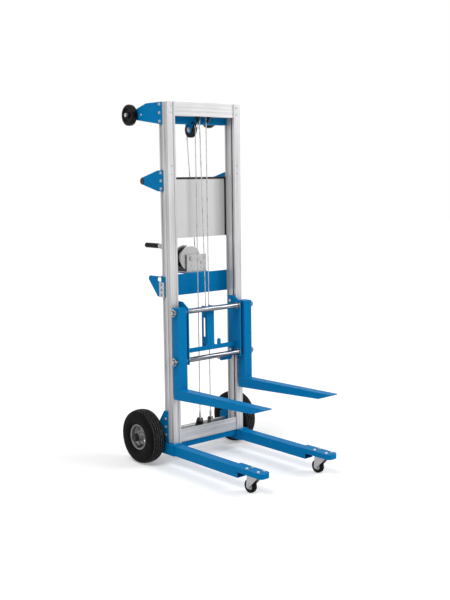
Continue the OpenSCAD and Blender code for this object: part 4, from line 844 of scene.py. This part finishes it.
def add_small_wheels():
    for side in SIDES:
        low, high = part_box("caster_wheel_" + side)
        centre = (Vector(low) + Vector(high)) / 2
        body = "caster_roll_" + side
        tread = bmesh.new()
        face = smooth_line(CASTER_FACE, 4)
        turned(tread, in_mm(mirrored(face) + face[1:] + CASTER_SEAT), centre, ACROSS, steps=64, ring=True)
        add_piece("caster_tread_" + side, tread, "rubber", body, ["caster_wheel_" + side])
        hub = bmesh.new()
        near_half = [(-a, r) for a, r in CASTER_HUB]
        turned(hub, in_mm(near_half + CASTER_HUB[::-1]), centre, ACROSS, steps=48, ring=True)
        add_piece("caster_hub_" + side, hub, "zinc", body)

        low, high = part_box("load_wheel_" + side)
        centre = (Vector(low) + Vector(high)) / 2
        wheel = bmesh.new()
        half_line = LOADING_DISH + smooth_line(LOADING_FACE, 5)
        turned(wheel, in_mm(half_line + mirrored(half_line)[1:]), centre, ACROSS, steps=80, ring=True)
        add_piece("moulded_loading_wheel_" + side, wheel, "gloss_plastic", "loading_" + side,
                  ["load_wheel_" + side])


# Winch trim; the flanges have their place along the drum, their bore and half an edge in millimetres
FLANGES = ((99.5, 14), (151.5, 52))
FLANGE_HALF = 1.7
FLANGE_EDGE = [(FLANGE_HALF, 58.2), (2.2, 59.6), (1.6, 61.2), (0, 61.6)]
GRIP_R, GRIP_BORE = 12.5 * MM, 5.06 * MM
GRIP_END, GRIP_CHAMFER, GRIP_CHAMFER_DROP = 2.5 * MM, 1.5 * MM, 1.0 * MM
GRIP_RINGS = 9
# Share of a ring's length, and millimetres under the grip's radius
GRIP_RING_LINE = ((0.20, 1.6), (0.32, 0.2), (0.55, 0), (0.78, 0.2), (0.90, 1.6))


def add_winch_trim():
    flanges = bmesh.new()
    for place, bore in FLANGES:
        line = [(-FLANGE_HALF, bore), (FLANGE_HALF, bore)] + FLANGE_EDGE + mirrored(FLANGE_EDGE)[1:]
        turned(flanges, in_mm(line), DRUM + BACK * place * MM, BACK, steps=96, ring=True)
    add_piece("drum_flanges", flanges, "turned_steel", "winch_drum")

    low, high = (Vector(c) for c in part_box("grip"))
    centre = (low + high) / 2
    length = high.y - low.y
    step = length / GRIP_RINGS
    line = [(0, GRIP_BORE), (0, GRIP_R - GRIP_END), (GRIP_CHAMFER, GRIP_R - GRIP_CHAMFER_DROP)]
    for i in range(GRIP_RINGS):
        line += [(step * (i + share), GRIP_R - drop * MM) for share, drop in GRIP_RING_LINE]
    line += [(length, GRIP_R - GRIP_END), (length, GRIP_BORE)]
    grip = bmesh.new()
    turned(grip, line, Vector((centre.x, low.y, centre.z)), BACK, steps=40, ring=True)
    add_piece("ribbed_grip", grip, "gloss_plastic", "crank_grip", ["grip"], smooth=55)


# Fasteners; each head has its width and height
BRACKET_BOLT, MOUNT_BOLT = (10 * MM, 5.4 * MM), (11 * MM, 6 * MM)
FACE_SCREW, ROD_CAP = (8.5 * MM, 2.2 * MM), (21 * MM, 1.8 * MM)
CLEVIS_NUT = (16.2 * MM, 7.4 * MM)
SLOT_BOLT, PLATE_BOLT = (9 * MM, 5 * MM), (13 * MM, 6.5 * MM)
FACE_SCREW_Z = (1713, 1680, 1436, 1397)
COLUMN_MID = 201 * MM
MOUNT_TOP = 108.2 * MM
MOUNT_BOLT_X = (195 * MM, 229 * MM)
MOUNT_BOLT_Y = (-609 * MM, -535 * MM)
BRACKET_FACE, FOOT_FACE = 227 * MM, 228 * MM
BRACKET_BOLT_Y = 52 * MM
BRACKET_BOLT_Z = (1641, 1680, 1719, 1329, 1366, 1403)
FOOT_BOLT_Z = (145.95, 184.7, 223.45)
ROD_Y, ROD_Z = -40 * MM, (750 * MM, 516 * MM)
PIN_X = 243 * MM
PIN_LINE = [(-18.5, 0), (-18.5, 2.2), (-17.5, 3), (17.5, 3), (18.5, 2.2), (18.5, 0)]
PIN_RING_R, PIN_RING_WIRE = 16.5 * MM, 1.5 * MM


def add_fasteners():
    bolts = bmesh.new()
    for sign in (NEAR, FAR):
        for face, heights in ((BRACKET_FACE, BRACKET_BOLT_Z), (FOOT_FACE, FOOT_BOLT_Z)):
            for z in heights:
                hexagon_head(bolts, (sign * face, BRACKET_BOLT_Y, z * MM), ACROSS * sign, *BRACKET_BOLT)
    add_piece("bracket_bolts", bolts, "zinc", "base", ["frame_bolts"], smooth=30)

    screws = bmesh.new()
    for sign in (NEAR, FAR):
        for z in FACE_SCREW_Z:
            domed_head(screws, (sign * COLUMN_MID, 0, z * MM), -BACK, *FACE_SCREW)
    add_piece("mast_screws", screws, "zinc", "mast", smooth=35)

    caster_bolts = bmesh.new()
    for sign in (NEAR, FAR):
        for x in MOUNT_BOLT_X:
            for y in MOUNT_BOLT_Y:
                hexagon_head(caster_bolts, (sign * x, y, MOUNT_TOP), UP, *MOUNT_BOLT)
    add_piece("caster_bolts", caster_bolts, "zinc", "base", smooth=30)

    pins = bmesh.new()
    rod_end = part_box("fork_rods")[1][0]
    for z in ROD_Z:
        for sign in (NEAR, FAR):
            pin_place = Vector((sign * PIN_X, ROD_Y, z))
            turned(pins, in_mm(PIN_LINE), pin_place, UP, steps=20)
            ring = circle_points(pin_place, BACK, UP, PIN_RING_R, 48)[:-1]
            round_wire(pins, ring, PIN_RING_WIRE, closed=True)
            domed_head(pins, (sign * rod_end, ROD_Y, z), ACROSS * sign, *ROD_CAP)
    add_piece("ring_pins", pins, "zinc", "carriage", ["rod_pins"])


# Pieces at the ropes, the handle, the columns and the carriage; profiles and outlines are in millimetres
CLEVIS_FACES = {NEAR: -42.3 * MM, FAR: -19.7 * MM}
LUG_TIP = Vector((-20.5, 27, 1641)) * MM
LUG_RING = Vector((-19.5, 27, 1612)) * MM
LUG_RING_R, LUG_WIRE = 5 * MM, 1.4 * MM
LUG_NECK, LUG_HOOK = 8 * MM, 6 * MM
WEB_X, WEB_BACK, WEB_T, WEB_ROUND = -31 * MM, 50 * MM, 4 * MM, 0.6 * MM
WEB_OUTLINE = [(-25, 111.6), (25, 111.6), (25, 150), (8, 194), (4, 198), (-4, 198), (-8, 194), (-25, 150)]
HANDLE_Y, HANDLE_Z = 204 * MM, 1366 * MM
HANDLE_FACE, HANDLE_END = 227 * MM, 231 * MM
BUSH_LINE = [(0, 11.1), (0, 15.5), (1.4, 15.5), (2.4, 14.4), (2.4, 11.1)]
PLUG_LINE = [(-10, 0), (-10, 8.8), (0.1, 8.8), (0.8, 8), (1.2, 5), (1.3, 0)]
SLOT_FACE = 222 * MM
SLOT_BOLT_Z = (500, 470)
PLATE_BACK = 70 * MM
PLATE_BOLT_Z = (896, 836)
BARREL_END = Vector((98, 22, 487)) * MM
BARREL_LINE = [(0, 0), (0, 14), (1.2, 15.5), (2.4, 16), (61.5, 16), (61.5, 0)]
PULL_LINE = [(0, 0), (0, 5), (9, 5), (10, 7.5), (14, 8.5), (17, 7), (18, 4), (18, 0)]


def add_small_steel():
    clevis = bmesh.new()
    for sign, x in CLEVIS_FACES.items():
        hexagon_head(clevis, (x, WINCH_SHEAVE.y, WINCH_SHEAVE.z), ACROSS * sign, *CLEVIS_NUT)
    add_piece("clevis_nuts", clevis, "zinc", "base", smooth=30)

    ring = bmesh.new()
    round_wire(ring, circle_points(LUG_RING, ACROSS, UP, LUG_RING_R, 28)[:-1], LUG_WIRE, closed=True)
    ring_top = LUG_RING + UP * LUG_RING_R
    round_wire(ring, [ring_top, ring_top + UP * LUG_NECK, LUG_TIP - UP * LUG_HOOK, LUG_TIP], LUG_WIRE)
    add_piece("lug_ring", ring, "zinc", "mast")

    web = bmesh.new()
    faces = [[web.verts.new((WEB_X + x, y, z)) for x, z in in_mm(WEB_OUTLINE)]
             for y in (WEB_BACK - WEB_T, WEB_BACK)]
    for face in faces:
        web.faces.new(face)
    for i in range(len(WEB_OUTLINE)):
        web.faces.new([faces[0][i - 1], faces[0][i], faces[1][i], faces[1][i - 1]])
    bmesh.ops.bevel(web, geom=list(web.edges), offset=WEB_ROUND, segments=2, profile=0.5, affect="EDGES")
    add_piece("lug_web", web, "black_iron", "mast")

    bushes = bmesh.new()
    for sign in (NEAR, FAR):
        out = ACROSS * sign
        turned(bushes, in_mm(BUSH_LINE), (sign * HANDLE_FACE, HANDLE_Y, HANDLE_Z), out, steps=48, ring=True)
        turned(bushes, in_mm(PLUG_LINE), (sign * HANDLE_END, HANDLE_Y, HANDLE_Z), out, steps=40)
    add_piece("handle_bushes", bushes, "dull_plastic", "base")

    bolts = bmesh.new()
    for sign in (NEAR, FAR):
        for z in SLOT_BOLT_Z:
            hexagon_head(bolts, (sign * SLOT_FACE, BRACKET_BOLT_Y, z * MM), ACROSS * sign, *SLOT_BOLT)
        for z in PLATE_BOLT_Z:
            hexagon_head(bolts, (sign * COLUMN_MID, PLATE_BACK, z * MM), BACK, *PLATE_BOLT)
    add_piece("column_bolts", bolts, "zinc", "base", smooth=30)

    barrel = bmesh.new()
    turned(barrel, in_mm(BARREL_LINE), BARREL_END, ACROSS, steps=48)
    add_piece("lock_barrel", barrel, "blue_paint", "carriage")
    pull = bmesh.new()
    turned(pull, in_mm(PULL_LINE), BARREL_END, -ACROSS, steps=32)
    add_piece("lock_pull", pull, "zinc", "carriage")


# Black edge strip along the back panel's top and sides: painted shade of its rolled edge
STRIP_W, STRIP_T, STRIP_DOWN = 10 * MM, 2 * MM, 8 * MM
STRIP_TOP_ROUND, STRIP_SIDE_ROUND = 0.9 * MM, 0.8 * MM


def add_panel_shade_strip():
    low, high = (Vector(c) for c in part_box("panel_trim"))
    strip = bmesh.new()
    soft_block(strip, (low.x, low.y, high.z - STRIP_W), high, STRIP_TOP_ROUND)
    side_top = high.z - STRIP_DOWN
    for x in (low.x, high.x - STRIP_W):
        soft_block(strip, (x, low.y, low.z), (x + STRIP_W, low.y + STRIP_T, side_top), STRIP_SIDE_ROUND)
    # A black strip where the panel's rolled edge throws shade: painted shade
    add_piece("panel_shade_strip", strip, "dull_plastic", "base", ["panel_trim"])


# Welds of the cross tube to the sleeves, and of the forks at the heel
SLEEVE_IN = 183.8 * MM
TUBE_FRONT, TUBE_BACK = 8 * MM, 58 * MM
TUBE_LOW, TUBE_TOP = 78.2 * MM, 107.2 * MM
HEEL_X, HEEL_Y, HEEL_Z, HEEL_HALF = 205 * MM, -65 * MM, 382 * MM, 20 * MM
BASE_BEAD, HEEL_BEAD = 2.2 * MM, 2.6 * MM


def add_welds():
    base = bmesh.new()
    for sign in (NEAR, FAR):
        x = sign * SLEEVE_IN
        for y in (TUBE_FRONT, TUBE_BACK):
            weld_bead(base, (x, y, TUBE_LOW), (x, y, TUBE_TOP), BASE_BEAD)
    add_piece("base_welds", base, "blue_paint", "base", smooth=60)
    heel = bmesh.new()
    for sign in (NEAR, FAR):
        x = sign * HEEL_X
        weld_bead(heel, (x - HEEL_HALF, HEEL_Y, HEEL_Z), (x + HEEL_HALF, HEEL_Y, HEEL_Z), HEEL_BEAD)
    add_piece("fork_welds", heel, "blue_paint", "carriage", smooth=60)


# Studio; each lamp has its place, size and power
LAMPS = {"key": ((4.5, -4.8, 5.0), 3.6, 345), "fill": ((-4.0, -1.5, 6.2), 3.2, 240)}
AIM = Vector((0, 0, 0.8))
WORLD_LIGHT = 0.46
FLOOR_HALF = 20
FLOOR_TONE = 0.8
GLOW_NEAR, GLOW_FAR = 0.30, 0.66
GLOW_START, GLOW_END = 0.5, 6.0


def seen_by_eye(f):
    """1 for rays that show the background: from the camera, off gloss and through glass."""
    path = {name: f.node("ShaderNodeLightPath", out=name)
            for name in ("Is Camera Ray", "Is Glossy Ray", "Is Transmission Ray")}
    total = path["Is Camera Ray"] + path["Is Glossy Ray"] + path["Is Transmission Ray"]
    return f.spread(total, 0, 1)


def light_studio():
    scene = bpy.context.scene
    scene.view_settings.view_transform = "Standard"
    world = bpy.data.worlds.new("studio")
    scene.world = world
    world.use_nodes = True
    f = Finish(world.node_tree)
    background = world.node_tree.nodes["Background"]
    f.feed(background.inputs["Color"], grey(1.0))
    f.feed(background.inputs["Strength"], f.spread(seen_by_eye(f), 0, 1, WORLD_LIGHT, 1.0))
    for name, (place, size, power) in LAMPS.items():
        lamp = bpy.data.lights.new(name, "AREA")
        lamp.size = size
        lamp.energy = power
        holder = bpy.data.objects.new(name, lamp)
        scene.collection.objects.link(holder)
        holder.location = place
        holder.rotation_euler = (AIM - Vector(place)).to_track_quat("-Z", "Y").to_euler()


def lay_floor():
    """Pale floor that shows white to the eye and keeps the shadow, which fades with distance."""
    mesh = bmesh.new()
    corners = ((-1, -1), (1, -1), (1, 1), (-1, 1))
    mesh.faces.new([mesh.verts.new((x * FLOOR_HALF, y * FLOOR_HALF, 0)) for x, y in corners])
    data = bpy.data.meshes.new("floor")
    mesh.to_mesh(data)
    mesh.free()
    floor = bpy.data.objects.new("floor", data)
    bpy.context.scene.collection.objects.link(floor)
    material = bpy.data.materials.new("pale_floor")
    material.use_nodes = True
    f = Finish(material.node_tree)
    material.node_tree.nodes.remove(material.node_tree.nodes["Principled BSDF"])
    matt = f.node("ShaderNodeBsdfDiffuse", None, {"Color": grey(FLOOR_TONE)})
    away = f.vectors("LENGTH", f.node("ShaderNodeNewGeometry", out="Position"), out="Value")
    level = f.spread(away, GLOW_START, GLOW_END, GLOW_NEAR, GLOW_FAR)
    glow = f.node("ShaderNodeEmission", None, {
        "Color": f.mix(level, grey(0.0), grey(1.0)), "Strength": seen_by_eye(f)})
    both = f.node("ShaderNodeAddShader", None, {0: matt, 1: glow})
    f.feed(material.node_tree.nodes["Material Output"].inputs["Surface"], both)
    data.materials.append(material)


set_camera()
light_studio()
lay_floor()
dress_nodes()
add_ropes()
add_rear_wheels()
add_small_wheels()
add_winch_trim()
add_fasteners()
add_small_steel()
add_panel_shade_strip()
add_welds()
